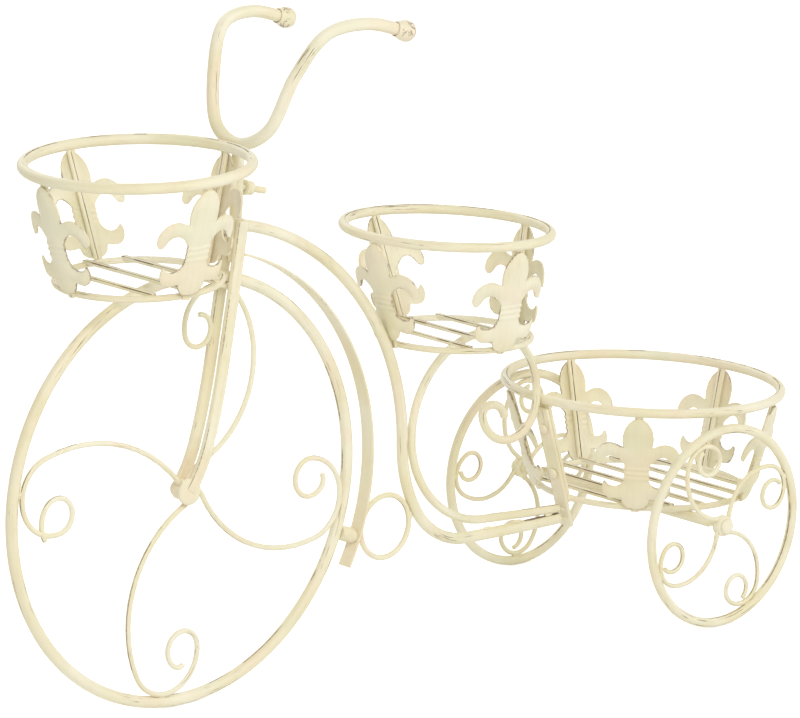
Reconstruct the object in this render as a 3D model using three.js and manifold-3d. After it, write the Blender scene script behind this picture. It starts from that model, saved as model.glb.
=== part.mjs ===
// Flower cart stand: a tricycle-shaped plant stand of bent and welded steel wire and tube.
// Millimetres, +Z up. X runs from the big front wheel to the rear axle, Y across the stand.
import * as THREE from 'three';
import * as BufferGeometryUtils from 'three/addons/utils/BufferGeometryUtils.js';
import Module from 'manifold-3d';

const wasm = await Module();
wasm.setup();

// ---------------------------------------------------------------- driving dimensions

const FIT = 0.3; // gap left where one piece rests on another

// front wheel: centreline radius of the rim, its tube radius, hub and scrolled spokes
const FRONT_RIM_RADIUS = 173.8;
const FRONT_RIM_TUBE = 4.9;
const FRONT_HUB_RADIUS = 11;
const FRONT_SPOKE_WIRE = 2.2;
const FRONT_SPOKE_OFFSET = 3; // the spokes lie this far toward -Y of the rim's middle plane
// each hand-bent spoke: its foot at the hub, and its bends as [length, degrees turned] from there out
const FRONT_SPOKES = [
  {
    out: 10.9, side: -1, heading: -22.9,
    bends: [[8, -41], [144.1, 76.5], [96.8, 160.3], [65.1, 233.9], [12.5, 73]],
  },
  {
    out: 11.9, side: -0.8, heading: -65,
    bends: [[159.2, 88.6], [91.7, 158.9], [64.4, 239.7], [8.4, 71.6]],
  },
  {
    out: 7, side: -8, heading: -50.6,
    bends: [[151, 65.9], [99.4, 173.8], [58.7, 227.6], [27.7, 65.4]],
  },
  {
    out: 10, side: -3, heading: -35.7,
    bends: [[19, -32.4], [156.6, 104.9], [83.3, 154.8], [47.7, 202.5], [11.7, 59.4]],
  },
];

// fork, stem and handlebar
const BLADE_WIDTH = 10.5;
const BLADE_THICKNESS = 5;
const BLADE_RIM_CLEARANCE = 0.7;
const BLADE_HEADING = 52;
const BLADE_BENDS = [[0.23, 20], [0.345, 7], [0.702, 2]]; // lengths as shares of the rim's radius
const STEM_RADIUS = 5.2;
const STEM_BEHIND_AXLE = 0.3026; // share of the rim's radius
const STEM_ABOVE_WHEEL = 0.6;
const STEM_LEAN = 3; // degrees, top further back
const HANDLEBAR_TUBE = 5.2;
const HANDLEBAR_ABOVE_STEM_FOOT = 95;
const HANDLEBAR_LEAN = 4; // degrees, the -Y grip higher
// one arm of the handlebar, from the middle of the U to the grip: [back, aside, up]
const HANDLEBAR_ARM = [[4.3, 32, 12.5], [19.5, 50, 56], [42.5, 63, 87], [78, 70, 92], [115, 73, 82.5]];
const GRIP_BALL_RADIUS = 8.8;
const GRIP_BALL_SOCKET = 8;

// mudguard strap round the back of the front wheel, its spacer and the ring behind it
const GUARD_GAP = 13.3;
const GUARD_SET_BACK = 4;
const GUARD_THICKNESS = 2;
const GUARD_WIDTH = 14;
const GUARD_END = -29.6; // degrees below the wheel's centre
const SPACER_RADIUS = 7;
const SPACER_ANGLE = -21.5;
const LOOP_RADIUS = 26.5;
const LOOP_WIRE = 2.3;

// the two frame tubes, bent in the middle plane
const FRAME_TUBE = 4.8;
const FRAME_ABOVE_STEM_FOOT = 30.2;
const FRAME_HEADING = -10.9;
const FRAME_BEND_OVER_WHEEL = [1.1714, -51.6]; // length as a share of the rim's radius
const FRAME_BENDS_BEHIND = [[98.3, -28], [61.7, 30.8], [68.8, 57.1], [106.4, 3]];
const ARCH_TUBE = 3.6;
const ARCH_HEADING = 176.5;
const ARCH_BENDS = [
  [87.9, -1.2], [88.9, -57.1], [171.2, -125.9], [99, -92.9], [85, -157.9], [10.3, -83.6], [27.1, -99.4],
];

// baskets
const BASKET_BASE_WIRE = 2.7;
const UPRIGHT_WIDTH = 7;
const UPRIGHT_THICKNESS = 3;
const UPRIGHT_TOP_GAP = 1.2; // square ends under a tilted rim
const SLAT_WIDTH = 5;
const SLAT_THICKNESS = 3;
const WELD_DEPTH = 1.6; // how far welded wires and flats sink into each other
// fleur-de-lis plate: pressed sheet wrapped round a basket's flank
const FLEUR_THICKNESS = 1.6;
const FLEUR_HEIGHT = 89;
const FLEUR_NECK_WIDTH = 23;

// where the baskets stand, measured from the pieces that carry them
const FRONT_BASKET_AHEAD_OF_STEM = 98.1;
const MIDDLE_BASKET_AHEAD_OF_FRAME_END = 122.2;
const REAR_BASKET_EDGE_BEHIND_FRAME_END = 8.8;
const REAR_TRACK = 248.8; // between the middle planes of the rear wheels
const RIM_INSIDE_WHEEL = 6.2;
const BASE_INSIDE_WHEEL = 35.4;

// Centreline radius and tilt (degrees, +X side down) of rim and base ring, how far the rim's centre
// lies toward +X of the base ring's and above it, and where each fleur-de-lis plate and its upright
// meet rim and base, in degrees round the basket.
const FRONT_BASKET = {
  name: 'front_basket',
  rim: { radius: 90.1, tilt: -0.9, tube: 4.5 },
  base: { radius: 66, tilt: -0.9 },
  offset: -0.5,
  rise: FLEUR_HEIGHT + 4,
  fleurs: [[0, 0], [87.8, 78], [176.2, 181.7], [268.7, 263.3]],
  slatSpacing: 32,
  slatCount: 3,
};
const MIDDLE_BASKET = {
  name: 'middle_basket',
  rim: { radius: 85.9, tilt: 3.5, tube: 4.1 },
  base: { radius: 64, tilt: 2 },
  offset: -8.5,
  rise: FLEUR_HEIGHT + 3.1,
  fleurs: [[-1.5, 0], [92.7, 86.5], [184, 180], [270.7, 262.8]],
  slatSpacing: 32,
  slatCount: 3,
};
const REAR_BASKET = {
  name: 'rear_basket',
  rim: { radius: REAR_TRACK / 2 - RIM_INSIDE_WHEEL, tilt: 2.85, tube: 4.1 },
  base: { radius: REAR_TRACK / 2 - BASE_INSIDE_WHEEL, tilt: 2.85 },
  offset: 0.3,
  rise: FLEUR_HEIGHT + 0.4,
  fleurs: [[9.6, 9.2], [78.1, 79.9], [151.5, 151.5], [224.4, 222.7], [296.5, 296.5]],
  slatSpacing: 27,
  slatCount: 6,
};

// rear axle and wheels
const AXLE_AHEAD_OF_BASKET = 24.4;
const REAR_RIM_RADIUS = 83.5;
const REAR_RIM_TUBE = 4;
const REAR_HUB_RADIUS = 8.8;
const REAR_HUB_WIDTH = 8;
const REAR_SPOKE_WIRE = 2;
const REAR_SPOKE = {
  out: 7.3, side: 8.8, heading: 79,
  bends: [[66, -88], [42.5, -119], [48, -225], [12, -60]],
};
const LEFT_WHEEL_TURN = 27; // degrees the left wheel stands ahead of the right one
const AXLE_RADIUS = 4.5;
const AXLE_STUB_RADIUS = 3;
const AXLE_STUB_LENGTH = 12;
const HUB_RUNNING_GAP = 0.4;
const AXLE_CAP_RADIUS = 6.5;
const AXLE_CAP_THICKNESS = 3.2;

// the strap that carries the rear basket, and its bolts
const STRAP_WIDTH = 15;
const STRAP_THICKNESS = 3;
const STRAP_BELOW_TUBE = 2;
const STRAP_TOP_GAP = 3;
const STRAP_BOLT_SHANK = 2.4;
const STRAP_BOLT_HEAD = 4.6;
const STRAP_BOLT_HEAD_HEIGHT = 2.6;
const UPPER_BOLT_SHARE = 0.72; // of the flank's length
const LOWER_BOLT_SHARE = 0.418536; // of the way from the arch tube's top to the upper bolt

// the long bolt that holds the front basket to the stem
const HEAD_BOLT_ABOVE_STEM_FOOT = 61;
const HEAD_BOLT_SHANK = 2.8;
const HEAD_BOLT_HEAD = 5;
const HEAD_BOLT_HEAD_HEIGHT = 3;
const HEAD_BOLT_TAIL = 14;
const HEAD_NUT_RADIUS = 5.8;
const HEAD_NUT_THICKNESS = 6;
const HEAD_WASHER_RADIUS = 6.4;
const HEAD_WASHER_THICKNESS = 2.4;

// faces on round sections
const TUBE_SIDES = 7;
const WIRE_SIDES = 5;
const SPOKE_FIRST_CORNER = 0.62; // share of a side; no side of a spoke lies flat in the wheel's plane

// ---------------------------------------------------------------- materials

const cream = (name, colour = 0xeadfbe) =>
  new THREE.MeshStandardMaterial({ name, color: colour, roughness: 0.55, metalness: 0 });
const painted = cream('painted_steel');
const paintedSheet = cream('painted_sheet', 0xe4d6ab);
const paintedFastener = cream('painted_fastener', 0xd9cb9c);

// ---------------------------------------------------------------- solids

const radians = THREE.MathUtils.degToRad;

function toManifold(geometry) {
  const bare = geometry.clone();
  bare.deleteAttribute('normal');
  bare.deleteAttribute('uv');
  const merged = BufferGeometryUtils.mergeVertices(bare, 1e-4);
  return new wasm.Manifold(new wasm.Mesh({
    numProp: 3,
    vertProperties: new Float32Array(merged.attributes.position.array),
    triVerts: new Uint32Array(merged.index.array),
  }));
}

function toGeometry(manifold) {
  const mesh = manifold.getMesh();
  const geometry = new THREE.BufferGeometry();
  geometry.setAttribute('position', new THREE.BufferAttribute(new Float32Array(mesh.vertProperties), 3));
  geometry.setIndex(new THREE.BufferAttribute(new Uint32Array(mesh.triVerts), 1));
  return geometry;
}

function joined(geometries) {
  return toGeometry(geometries.map(toManifold).reduce((whole, piece) => whole.add(piece)));
}

function cut(geometry, cutters) {
  const holes = cutters.map(toManifold);
  return toGeometry(holes.reduce((whole, hole) => whole.subtract(hole), toManifold(geometry)));
}

// A wire bent in an XZ plane: constant-curvature pieces given as [length, degrees turned].
class BentWire extends THREE.Curve {
  constructor(start, heading, bends, { y = 0, scale = 1, stepAngle = 15 } = {}) {
    super();
    this.y = y;
    this.pieces = [];
    let at = { x: start.x, z: start.z, heading: radians(heading) };
    for (const [length, turn] of bends) {
      const steps = Math.max(1, Math.ceil(Math.abs(turn) / stepAngle));
      const piece = { ...at, length: length * scale, turn: radians(turn), steps };
      this.pieces.push(piece);
      at = BentWire.along(piece, 1);
    }
    this.steps = this.pieces.reduce((sum, piece) => sum + piece.steps, 0);
    this.end = at;
  }

  static along(piece, share) {
    const half = (piece.turn * share) / 2;
    const chord = piece.length * share * (half === 0 ? 1 : Math.sin(half) / half);
    return {
      x: piece.x + chord * Math.cos(piece.heading + half),
      z: piece.z + chord * Math.sin(piece.heading + half),
      heading: piece.heading + 2 * half,
    };
  }

  stateAt(t) {
    let step = THREE.MathUtils.clamp(t, 0, 1) * this.steps;
    for (const piece of this.pieces) {
      if (step <= piece.steps) return BentWire.along(piece, step / piece.steps);
      step -= piece.steps;
    }
    return this.end;
  }

  getPoint(t, target = new THREE.Vector3()) {
    const { x, z } = this.stateAt(t);
    return target.set(x, this.y, z);
  }

  getTangent(t, target = new THREE.Vector3()) {
    const { heading } = this.stateAt(t);
    return target.set(Math.cos(heading), 0, Math.sin(heading));
  }

  getPointAt(t, target) {
    return this.getPoint(t, target);
  }

  getTangentAt(t, target) {
    return this.getTangent(t, target);
  }

  sampled(measure) {
    const samples = this.steps * 16;
    return Array.from({ length: samples + 1 }, (_, i) => measure(this.getPoint(i / samples)));
  }

  farthestFrom(x, z) {
    return Math.max(...this.sampled((point) => Math.hypot(point.x - x, point.z - z)));
  }

  nearestTo(x, z) {
    return Math.min(...this.sampled((point) => Math.hypot(point.x - x, point.z - z)));
  }

  crest() {
    return Math.max(...Array.from({ length: this.steps + 1 }, (_, i) => this.getPoint(i / this.steps).z));
  }
}

function roundSection(radius, sides, firstCorner = 0.5) {
  const corner = (i) => {
    const angle = (2 * Math.PI * (i + firstCorner)) / sides;
    return new THREE.Vector2(radius * Math.cos(angle), radius * Math.sin(angle));
  };
  return new THREE.Shape(Array.from({ length: sides }, (_, i) => corner(i)));
}

function swept(curve, section, steps = curve.steps) {
  return new THREE.ExtrudeGeometry(section, { steps, extrudePath: curve, bevelEnabled: false });
}

function cylinderBetween(from, to, radius, sides = 10) {
  const axis = new THREE.Vector3().subVectors(to, from);
  const geometry = new THREE.CylinderGeometry(radius, radius, axis.length(), sides);
  const turn = new THREE.Quaternion().setFromUnitVectors(new THREE.Vector3(0, 1, 0), axis.clone().normalize());
  const middle = new THREE.Vector3().addVectors(from, to).multiplyScalar(0.5);
  return geometry.applyMatrix4(new THREE.Matrix4().compose(middle, turn, new THREE.Vector3(1, 1, 1)));
}

// ---------------------------------------------------------------- where things stand

const frontWheelZ = FRONT_RIM_RADIUS + FRONT_RIM_TUBE;
const rearWheelZ = REAR_RIM_RADIUS + REAR_RIM_TUBE;
const stemFoot = { x: STEM_BEHIND_AXLE * FRONT_RIM_RADIUS, z: 2 * frontWheelZ + STEM_ABOVE_WHEEL };

function stemXAt(z) {
  return stemFoot.x + (z - stemFoot.z) * Math.tan(radians(STEM_LEAN));
}

const handlebarZ = stemFoot.z + HANDLEBAR_ABOVE_STEM_FOOT;
const handlebarBase = { x: stemXAt(handlebarZ), z: handlebarZ };
const headBoltZ = stemFoot.z + HEAD_BOLT_ABOVE_STEM_FOOT;
const frameStartZ = stemFoot.z + FRAME_ABOVE_STEM_FOOT;
const roundWheel = (bends) => bends.map(([share, turn]) => [share * FRONT_RIM_RADIUS, turn]);

function framePath() {
  const bends = [...roundWheel([FRAME_BEND_OVER_WHEEL]), ...FRAME_BENDS_BEHIND];
  return new BentWire({ x: stemXAt(frameStartZ), z: frameStartZ }, FRAME_HEADING, bends, { stepAngle: 7 });
}

const frameEnd = framePath().end;

function archPath() {
  const start = { x: frameEnd.x, z: frameEnd.z + FRAME_TUBE + ARCH_TUBE + FIT };
  return new BentWire(start, ARCH_HEADING, ARCH_BENDS, { stepAngle: 20 });
}

// Sets a basket's base ring at x, resting with its lowest wire at height z at x = restX.
function standBasket(basket, x, restX, z) {
  const slope = (restX - x) * Math.sin(radians(basket.base.tilt));
  basket.base.x = x;
  basket.base.z = z + slope;
  basket.rim.x = x + basket.offset;
  basket.rim.z = basket.base.z + basket.rise;
}

// The front basket's ring clears the wheel, the middle one's slats rest on the crest of the arch,
// and the rear one's ring rests on the axle.
const frontBasketX = stemFoot.x - FRONT_BASKET_AHEAD_OF_STEM;
const overWheelX = frontBasketX + FRONT_BASKET.base.radius;
const wheelTopThere = frontWheelZ + Math.sqrt(frontWheelZ ** 2 - overWheelX ** 2);
standBasket(FRONT_BASKET, frontBasketX, overWheelX, wheelTopThere + FIT + BASKET_BASE_WIRE);
const middleBasketX = frameEnd.x - MIDDLE_BASKET_AHEAD_OF_FRAME_END;
const archTop = archPath().crest() + ARCH_TUBE * Math.cos(Math.PI / TUBE_SIDES);
standBasket(MIDDLE_BASKET, middleBasketX, middleBasketX, archTop + FIT);
const rearBasketX = frameEnd.x + REAR_BASKET_EDGE_BEHIND_FRAME_END + REAR_BASKET.base.radius;
const rearAxleX = rearBasketX - AXLE_AHEAD_OF_BASKET;
standBasket(REAR_BASKET, rearBasketX, rearAxleX, rearWheelZ + AXLE_RADIUS + FIT + BASKET_BASE_WIRE);

const stand = new THREE.Group();

function place(name, geometry, material = painted, parent = stand) {
  const mesh = new THREE.Mesh(geometry, material);
  mesh.name = name;
  parent.add(mesh);
  return mesh;
}

// ---------------------------------------------------------------- wheels

function rimGeometry(radius, tube, segments) {
  return new THREE.TorusGeometry(radius, tube, TUBE_SIDES, segments).rotateX(Math.PI / 2);
}

// One scrolled spoke pointing along +X from a hub at the origin, sized to touch the rim inside.
function spokeGeometry(spoke, { wire, offset, hubRadius, rimRadius, rimTube, stepAngle }) {
  const section = rimTube + wire + FIT;
  const reach = rimRadius - Math.sqrt(section ** 2 - offset ** 2);
  const foot = (scale) => ({ x: spoke.out * scale, z: spoke.side * scale });
  const drawn = new BentWire(foot(1), spoke.heading, spoke.bends, { stepAngle });
  const scale = reach / drawn.farthestFrom(0, 0);
  const lead = 5;
  const from = foot(scale);
  from.x -= lead * Math.cos(radians(spoke.heading));
  from.z -= lead * Math.sin(radians(spoke.heading));
  const bends = [[lead / scale, 0], ...spoke.bends];
  const path = new BentWire(from, spoke.heading, bends, { y: -offset, scale, stepAngle });
  const hub = new THREE.CylinderGeometry(hubRadius + FIT, hubRadius + FIT, 8 * wire, 20);
  hub.translate(0, -offset, 0);
  return cut(swept(path, roundSection(wire, WIRE_SIDES, SPOKE_FIRST_CORNER)), [hub]);
}

const bladeInside = FRONT_RIM_TUBE + BLADE_RIM_CLEARANCE;

function buildFrontWheel() {
  const wheel = new THREE.Group();
  wheel.position.z = frontWheelZ;
  stand.add(wheel);
  place('front_wheel_rim', rimGeometry(FRONT_RIM_RADIUS, FRONT_RIM_TUBE, 52), painted, wheel);
  const hubWidth = 2 * (bladeInside - FIT);
  place(
    'front_wheel_hub',
    new THREE.CylinderGeometry(FRONT_HUB_RADIUS, FRONT_HUB_RADIUS, hubWidth, 20),
    painted,
    wheel,
  );
  FRONT_SPOKES.forEach((bent, i) => {
    const spoke = spokeGeometry(bent, {
      wire: FRONT_SPOKE_WIRE,
      offset: FRONT_SPOKE_OFFSET,
      hubRadius: FRONT_HUB_RADIUS,
      rimRadius: FRONT_RIM_RADIUS,
      rimTube: FRONT_RIM_TUBE,
      stepAngle: 25,
    });
    place(`front_wheel_spoke_${i + 1}`, spoke, painted, wheel).rotation.y = (i * Math.PI) / 2;
  });
}

function buildRearWheel(side, sign, turn = 0) {
  const wheel = new THREE.Group();
  wheel.position.set(rearAxleX, (sign * REAR_TRACK) / 2, rearWheelZ);
  stand.add(wheel);
  place(`${side}_wheel_rim`, rimGeometry(REAR_RIM_RADIUS, REAR_RIM_TUBE, 32), painted, wheel);
  const bore = AXLE_STUB_RADIUS + HUB_RUNNING_GAP;
  const hub = new THREE.CylinderGeometry(REAR_HUB_RADIUS, REAR_HUB_RADIUS, REAR_HUB_WIDTH, 16);
  const drill = new THREE.CylinderGeometry(bore, bore, 2 * REAR_HUB_WIDTH, 12);
  place(`${side}_wheel_hub`, cut(hub, [drill]), painted, wheel);
  for (let i = 0; i < 4; i++) {
    const spoke = spokeGeometry(REAR_SPOKE, {
      wire: REAR_SPOKE_WIRE,
      offset: 0,
      hubRadius: REAR_HUB_RADIUS,
      rimRadius: REAR_RIM_RADIUS,
      rimTube: REAR_RIM_TUBE,
      stepAngle: 34,
    });
    const mesh = place(`${side}_wheel_spoke_${i + 1}`, spoke, painted, wheel);
    mesh.rotation.y = radians(turn) + (i * Math.PI) / 2;
  }
}

const hubInnerFace = REAR_TRACK / 2 - REAR_HUB_WIDTH / 2;
const hubOuterFace = REAR_TRACK / 2 + REAR_HUB_WIDTH / 2;
const axleShoulder = hubInnerFace - AXLE_STUB_LENGTH;

// Turned axle: thick middle, thinner stubs with a thrust collar inside each wheel hub.
function buildAxle() {
  const end = hubOuterFace + HUB_RUNNING_GAP + AXLE_CAP_THICKNESS / 2;
  const collarInner = hubInnerFace - HUB_RUNNING_GAP - 2;
  const collarOuter = hubInnerFace - HUB_RUNNING_GAP;
  const half = [
    [AXLE_RADIUS, axleShoulder], [AXLE_STUB_RADIUS, axleShoulder],
    [AXLE_STUB_RADIUS, collarInner], [AXLE_RADIUS, collarInner],
    [AXLE_RADIUS, collarOuter], [AXLE_STUB_RADIUS, collarOuter],
    [AXLE_STUB_RADIUS, end], [0, end],
  ];
  const profile = [
    ...half.map(([radius, along]) => new THREE.Vector2(radius, -along)).reverse(),
    ...half.map(([radius, along]) => new THREE.Vector2(radius, along)),
  ];
  const axle = new THREE.LatheGeometry(profile, 10).translate(rearAxleX, 0, rearWheelZ);
  place('rear_axle', axle);
  for (const [side, sign] of [['right', -1], ['left', 1]]) {
    const inner = hubOuterFace + HUB_RUNNING_GAP;
    const cap = cylinderBetween(
      new THREE.Vector3(rearAxleX, sign * inner, rearWheelZ),
      new THREE.Vector3(rearAxleX, sign * (inner + AXLE_CAP_THICKNESS), rearWheelZ),
      AXLE_CAP_RADIUS,
    );
    const socket = cylinderBetween(
      new THREE.Vector3(rearAxleX, sign * (inner - 1), rearWheelZ),
      new THREE.Vector3(rearAxleX, sign * (end + FIT), rearWheelZ),
      AXLE_STUB_RADIUS + FIT,
    );
    place(`${side}_axle_cap`, cut(cap, [socket]), paintedFastener);
  }
}

// ---------------------------------------------------------------- fork, stem and handlebar

const stemTop = {
  x: stemXAt(handlebarBase.z - HANDLEBAR_TUBE),
  z: handlebarBase.z,
};

function stemGeometry(grow = 0) {
  return cylinderBetween(
    new THREE.Vector3(stemFoot.x, 0, stemFoot.z - grow),
    new THREE.Vector3(stemTop.x, 0, stemTop.z + grow),
    STEM_RADIUS + grow,
    10,
  );
}

function bladeGeometry(sign) {
  const middle = sign * (bladeInside + BLADE_THICKNESS / 2);
  const hubCentre = { x: 0, z: frontWheelZ };
  const bent = { y: middle, stepAngle: 4 };
  const path = new BentWire(hubCentre, BLADE_HEADING, roundWheel(BLADE_BENDS), bent);
  const corner = BLADE_THICKNESS * 0.3;
  const [w, t] = [BLADE_WIDTH / 2, BLADE_THICKNESS / 2];
  const section = new THREE.Shape([
    [w - corner, -t], [w, -t + corner], [w, t - corner], [w - corner, t],
    [-w + corner, t], [-w, t - corner], [-w, -t + corner], [-w + corner, -t],
  ].map(([x, y]) => new THREE.Vector2(y, x)));
  const foot = new THREE.CylinderGeometry(FRONT_HUB_RADIUS, FRONT_HUB_RADIUS, BLADE_THICKNESS - 1, 24);
  foot.translate(0, sign * (bladeInside + (BLADE_THICKNESS - 1) / 2), frontWheelZ);
  return joined([swept(path, section), foot]);
}

function handlebarCurve() {
  const arm = (sign) => HANDLEBAR_ARM.map(([back, aside, up]) => new THREE.Vector3(back, sign * aside, up));
  const points = [...arm(-1).reverse(), new THREE.Vector3(0, 0, 0), ...arm(1)];
  return new THREE.CatmullRomCurve3(points, false, 'centripetal');
}

function buildHandlebar() {
  const bar = new THREE.Group();
  bar.position.set(handlebarBase.x, 0, handlebarBase.z);
  bar.rotation.x = radians(-HANDLEBAR_LEAN);
  stand.add(bar);
  const curve = handlebarCurve();
  place('handlebar', swept(curve, roundSection(HANDLEBAR_TUBE, TUBE_SIDES), 34), painted, bar);
  for (const [side, t] of [['right', 0], ['left', 1]]) {
    const end = curve.getPointAt(t);
    const outward = curve.getTangentAt(t).multiplyScalar(t === 0 ? -1 : 1);
    const centre = end.clone().addScaledVector(outward, GRIP_BALL_RADIUS - GRIP_BALL_SOCKET);
    const ball = new THREE.SphereGeometry(GRIP_BALL_RADIUS, 10, 7).translate(centre.x, centre.y, centre.z);
    const behind = end.clone().addScaledVector(outward, -3 * GRIP_BALL_RADIUS);
    const ahead = end.clone().addScaledVector(outward, FIT);
    const socket = cylinderBetween(behind, ahead, HANDLEBAR_TUBE + 2 * FIT, 10);
    place(`${side}_grip_ball`, cut(ball, [socket]), painted, bar);
  }
}

function handlebarInflated() {
  const curve = handlebarCurve();
  const grown = swept(curve, roundSection(HANDLEBAR_TUBE + FIT, TUBE_SIDES), 34);
  const lean = new THREE.Matrix4().makeRotationX(radians(-HANDLEBAR_LEAN));
  return grown.applyMatrix4(lean.setPosition(handlebarBase.x, 0, handlebarBase.z));
}

// ---------------------------------------------------------------- head bolt

const headBoltSlope = Math.atan2(
  FRONT_BASKET.rim.radius - FRONT_BASKET.base.radius,
  FRONT_BASKET.rim.z - FRONT_BASKET.base.z,
);
const headBoltAxis = new THREE.Vector3(Math.cos(headBoltSlope), 0, -Math.sin(headBoltSlope));
const headBoltCentre = new THREE.Vector3(stemXAt(headBoltZ), 0, headBoltZ);

function onHeadBolt(along) {
  return headBoltCentre.clone().addScaledVector(headBoltAxis, along);
}

function headBoltHole() {
  return cylinderBetween(onHeadBolt(-60), onHeadBolt(60), HEAD_BOLT_SHANK + FIT, 8);
}

function buildHead() {
  place('stem', cut(stemGeometry(), [headBoltHole(), handlebarInflated()]));
  place('fork_blade_right', bladeGeometry(-1));
  place('fork_blade_left', bladeGeometry(1));

  const stemReach = STEM_RADIUS / Math.cos(headBoltSlope);
  const behindStem = stemReach + HEAD_WASHER_RADIUS * Math.sin(headBoltSlope) + FIT;
  const sheetInside = -headBoltReach();
  const washerEnd = behindStem + HEAD_WASHER_THICKNESS;
  const nutEnd = washerEnd + FIT + HEAD_NUT_THICKNESS;
  const bolt = joined([
    cylinderBetween(
      onHeadBolt(sheetInside - HEAD_BOLT_HEAD_HEIGHT), onHeadBolt(sheetInside), HEAD_BOLT_HEAD, 6,
    ),
    cylinderBetween(onHeadBolt(sheetInside - 1), onHeadBolt(nutEnd + HEAD_BOLT_TAIL), HEAD_BOLT_SHANK, 8),
  ]);
  place('head_bolt', bolt, paintedFastener);
  const washer = cylinderBetween(onHeadBolt(behindStem), onHeadBolt(washerEnd), HEAD_WASHER_RADIUS);
  place('head_washer', cut(washer, [headBoltHole()]), paintedFastener);
  const nut = cylinderBetween(onHeadBolt(washerEnd + FIT), onHeadBolt(nutEnd), HEAD_NUT_RADIUS, 6);
  place('head_nut', cut(nut, [headBoltHole()]), paintedFastener);
  const sleeveFrom = -headBoltReach() + UPRIGHT_THICKNESS + FLEUR_THICKNESS + 4 * FIT;
  const sleeve = cylinderBetween(onHeadBolt(sleeveFrom), onHeadBolt(-STEM_RADIUS / 2), HEAD_NUT_RADIUS, 12);
  place('head_sleeve', cut(sleeve, [headBoltHole(), stemGeometry(FIT)]), paintedFastener);
}

// Distance from the stem's axis to the inner face of the front basket's rear upright, on the bolt.
function headBoltReach() {
  const { foot, top } = uprightEnds(FRONT_BASKET, flankLine(0));
  const along = new THREE.Vector3().subVectors(top, foot).normalize();
  const outward = new THREE.Vector3(along.z, 0, -along.x);
  const gap = new THREE.Vector3().subVectors(headBoltCentre, foot).dot(outward);
  return (gap + UPRIGHT_THICKNESS / 2) / headBoltAxis.dot(outward) + FIT;
}

// ---------------------------------------------------------------- mudguard, spacer and loop

const guardRadius = FRONT_RIM_RADIUS + FRONT_RIM_TUBE + GUARD_GAP + GUARD_THICKNESS / 2;

function buildMudguard() {
  const inner = guardRadius - GUARD_THICKNESS / 2;
  const outer = guardRadius + GUARD_THICKNESS / 2;
  const guardTop = frontWheelZ + Math.sqrt(outer ** 2 - (stemFoot.x - GUARD_SET_BACK) ** 2);
  const stemBack = stemXAt(guardTop) + STEM_RADIUS / Math.cos(radians(STEM_LEAN)) + FIT;
  const startAngle = Math.acos((stemBack - GUARD_SET_BACK) / inner);
  const strap = new THREE.Shape();
  strap.absarc(0, 0, outer, radians(GUARD_END), startAngle, false);
  strap.absarc(0, 0, inner, startAngle, radians(GUARD_END), true);
  const options = { depth: GUARD_WIDTH, bevelEnabled: false, curveSegments: 15 };
  const geometry = new THREE.ExtrudeGeometry(strap, options);
  geometry.translate(0, 0, -GUARD_WIDTH / 2).rotateX(Math.PI / 2).translate(GUARD_SET_BACK, 0, frontWheelZ);
  place('mudguard', geometry, paintedSheet);

  const angle = radians(SPACER_ANGLE);
  const from = FRONT_RIM_RADIUS + FRONT_RIM_TUBE + FIT;
  const to = guardRadius - GUARD_THICKNESS / 2 + GUARD_SET_BACK * Math.cos(angle) - 2 * FIT;
  const radial = (distance) =>
    new THREE.Vector3(distance * Math.cos(angle), 0, frontWheelZ + distance * Math.sin(angle));
  place('mudguard_spacer', cylinderBetween(radial(from), radial(to), SPACER_RADIUS, 6), paintedFastener);
}

// The loop nestles between the mudguard and the main frame tube.
function buildLoop() {
  const loopOuter = LOOP_RADIUS + LOOP_WIRE;
  const fromGuard = guardRadius + GUARD_THICKNESS / 2 + FIT + loopOuter;
  const path = framePath();
  const centreAt = (degrees) => ({
    x: GUARD_SET_BACK + fromGuard * Math.cos(radians(degrees)),
    z: frontWheelZ + fromGuard * Math.sin(radians(degrees)),
  });
  let [low, high] = [-40, -5];
  for (let i = 0; i < 40; i++) {
    const middle = (low + high) / 2;
    const { x, z } = centreAt(middle);
    if (path.nearestTo(x, z) > FRAME_TUBE + FIT + loopOuter) low = middle;
    else high = middle;
  }
  const { x, z } = centreAt(low);
  const loop = new THREE.TorusGeometry(LOOP_RADIUS, LOOP_WIRE, WIRE_SIDES, 26).rotateX(Math.PI / 2);
  place('scroll_loop', loop.translate(x, 0, z));
}

// ---------------------------------------------------------------- baskets

function ringMatrix(ring) {
  return new THREE.Matrix4().makeRotationY(radians(ring.tilt)).setPosition(ring.x, 0, ring.z);
}

function ringPoint(ring, degrees, radius, lift = 0) {
  const angle = radians(degrees);
  const flat = new THREE.Vector3(radius * Math.cos(angle), radius * Math.sin(angle), lift);
  return flat.applyMatrix4(ringMatrix(ring));
}

// A line up the flank joins an angle on the rim to an angle on the base ring.
const flankLine = (top, foot = top) => ({ top, foot });
const flankLines = (basket) => basket.fleurs.map(([top, foot]) => flankLine(top, foot));

// Uprights run outside the base ring and end under the rim.
function uprightEnds(basket, line) {
  const footRadius = basket.base.radius + BASKET_BASE_WIRE + UPRIGHT_THICKNESS / 2 - WELD_DEPTH;
  return {
    foot: ringPoint(basket.base, line.foot, footRadius),
    top: ringPoint(basket.rim, line.top, basket.rim.radius),
  };
}

// Frame of the basket's flank on a line: origin at the upright's foot, z up the flank, x outward.
function flankFrame(basket, line) {
  const { foot, top } = uprightEnds(basket, line);
  const up = new THREE.Vector3().subVectors(top, foot);
  const length = up.length();
  up.normalize();
  const facing = radians((line.top + line.foot) / 2);
  const aside = new THREE.Vector3(-Math.sin(facing), Math.cos(facing), 0);
  aside.addScaledVector(up, -aside.dot(up)).normalize();
  const outward = new THREE.Vector3().crossVectors(aside, up);
  return { foot, up, aside, outward, length };
}

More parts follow.
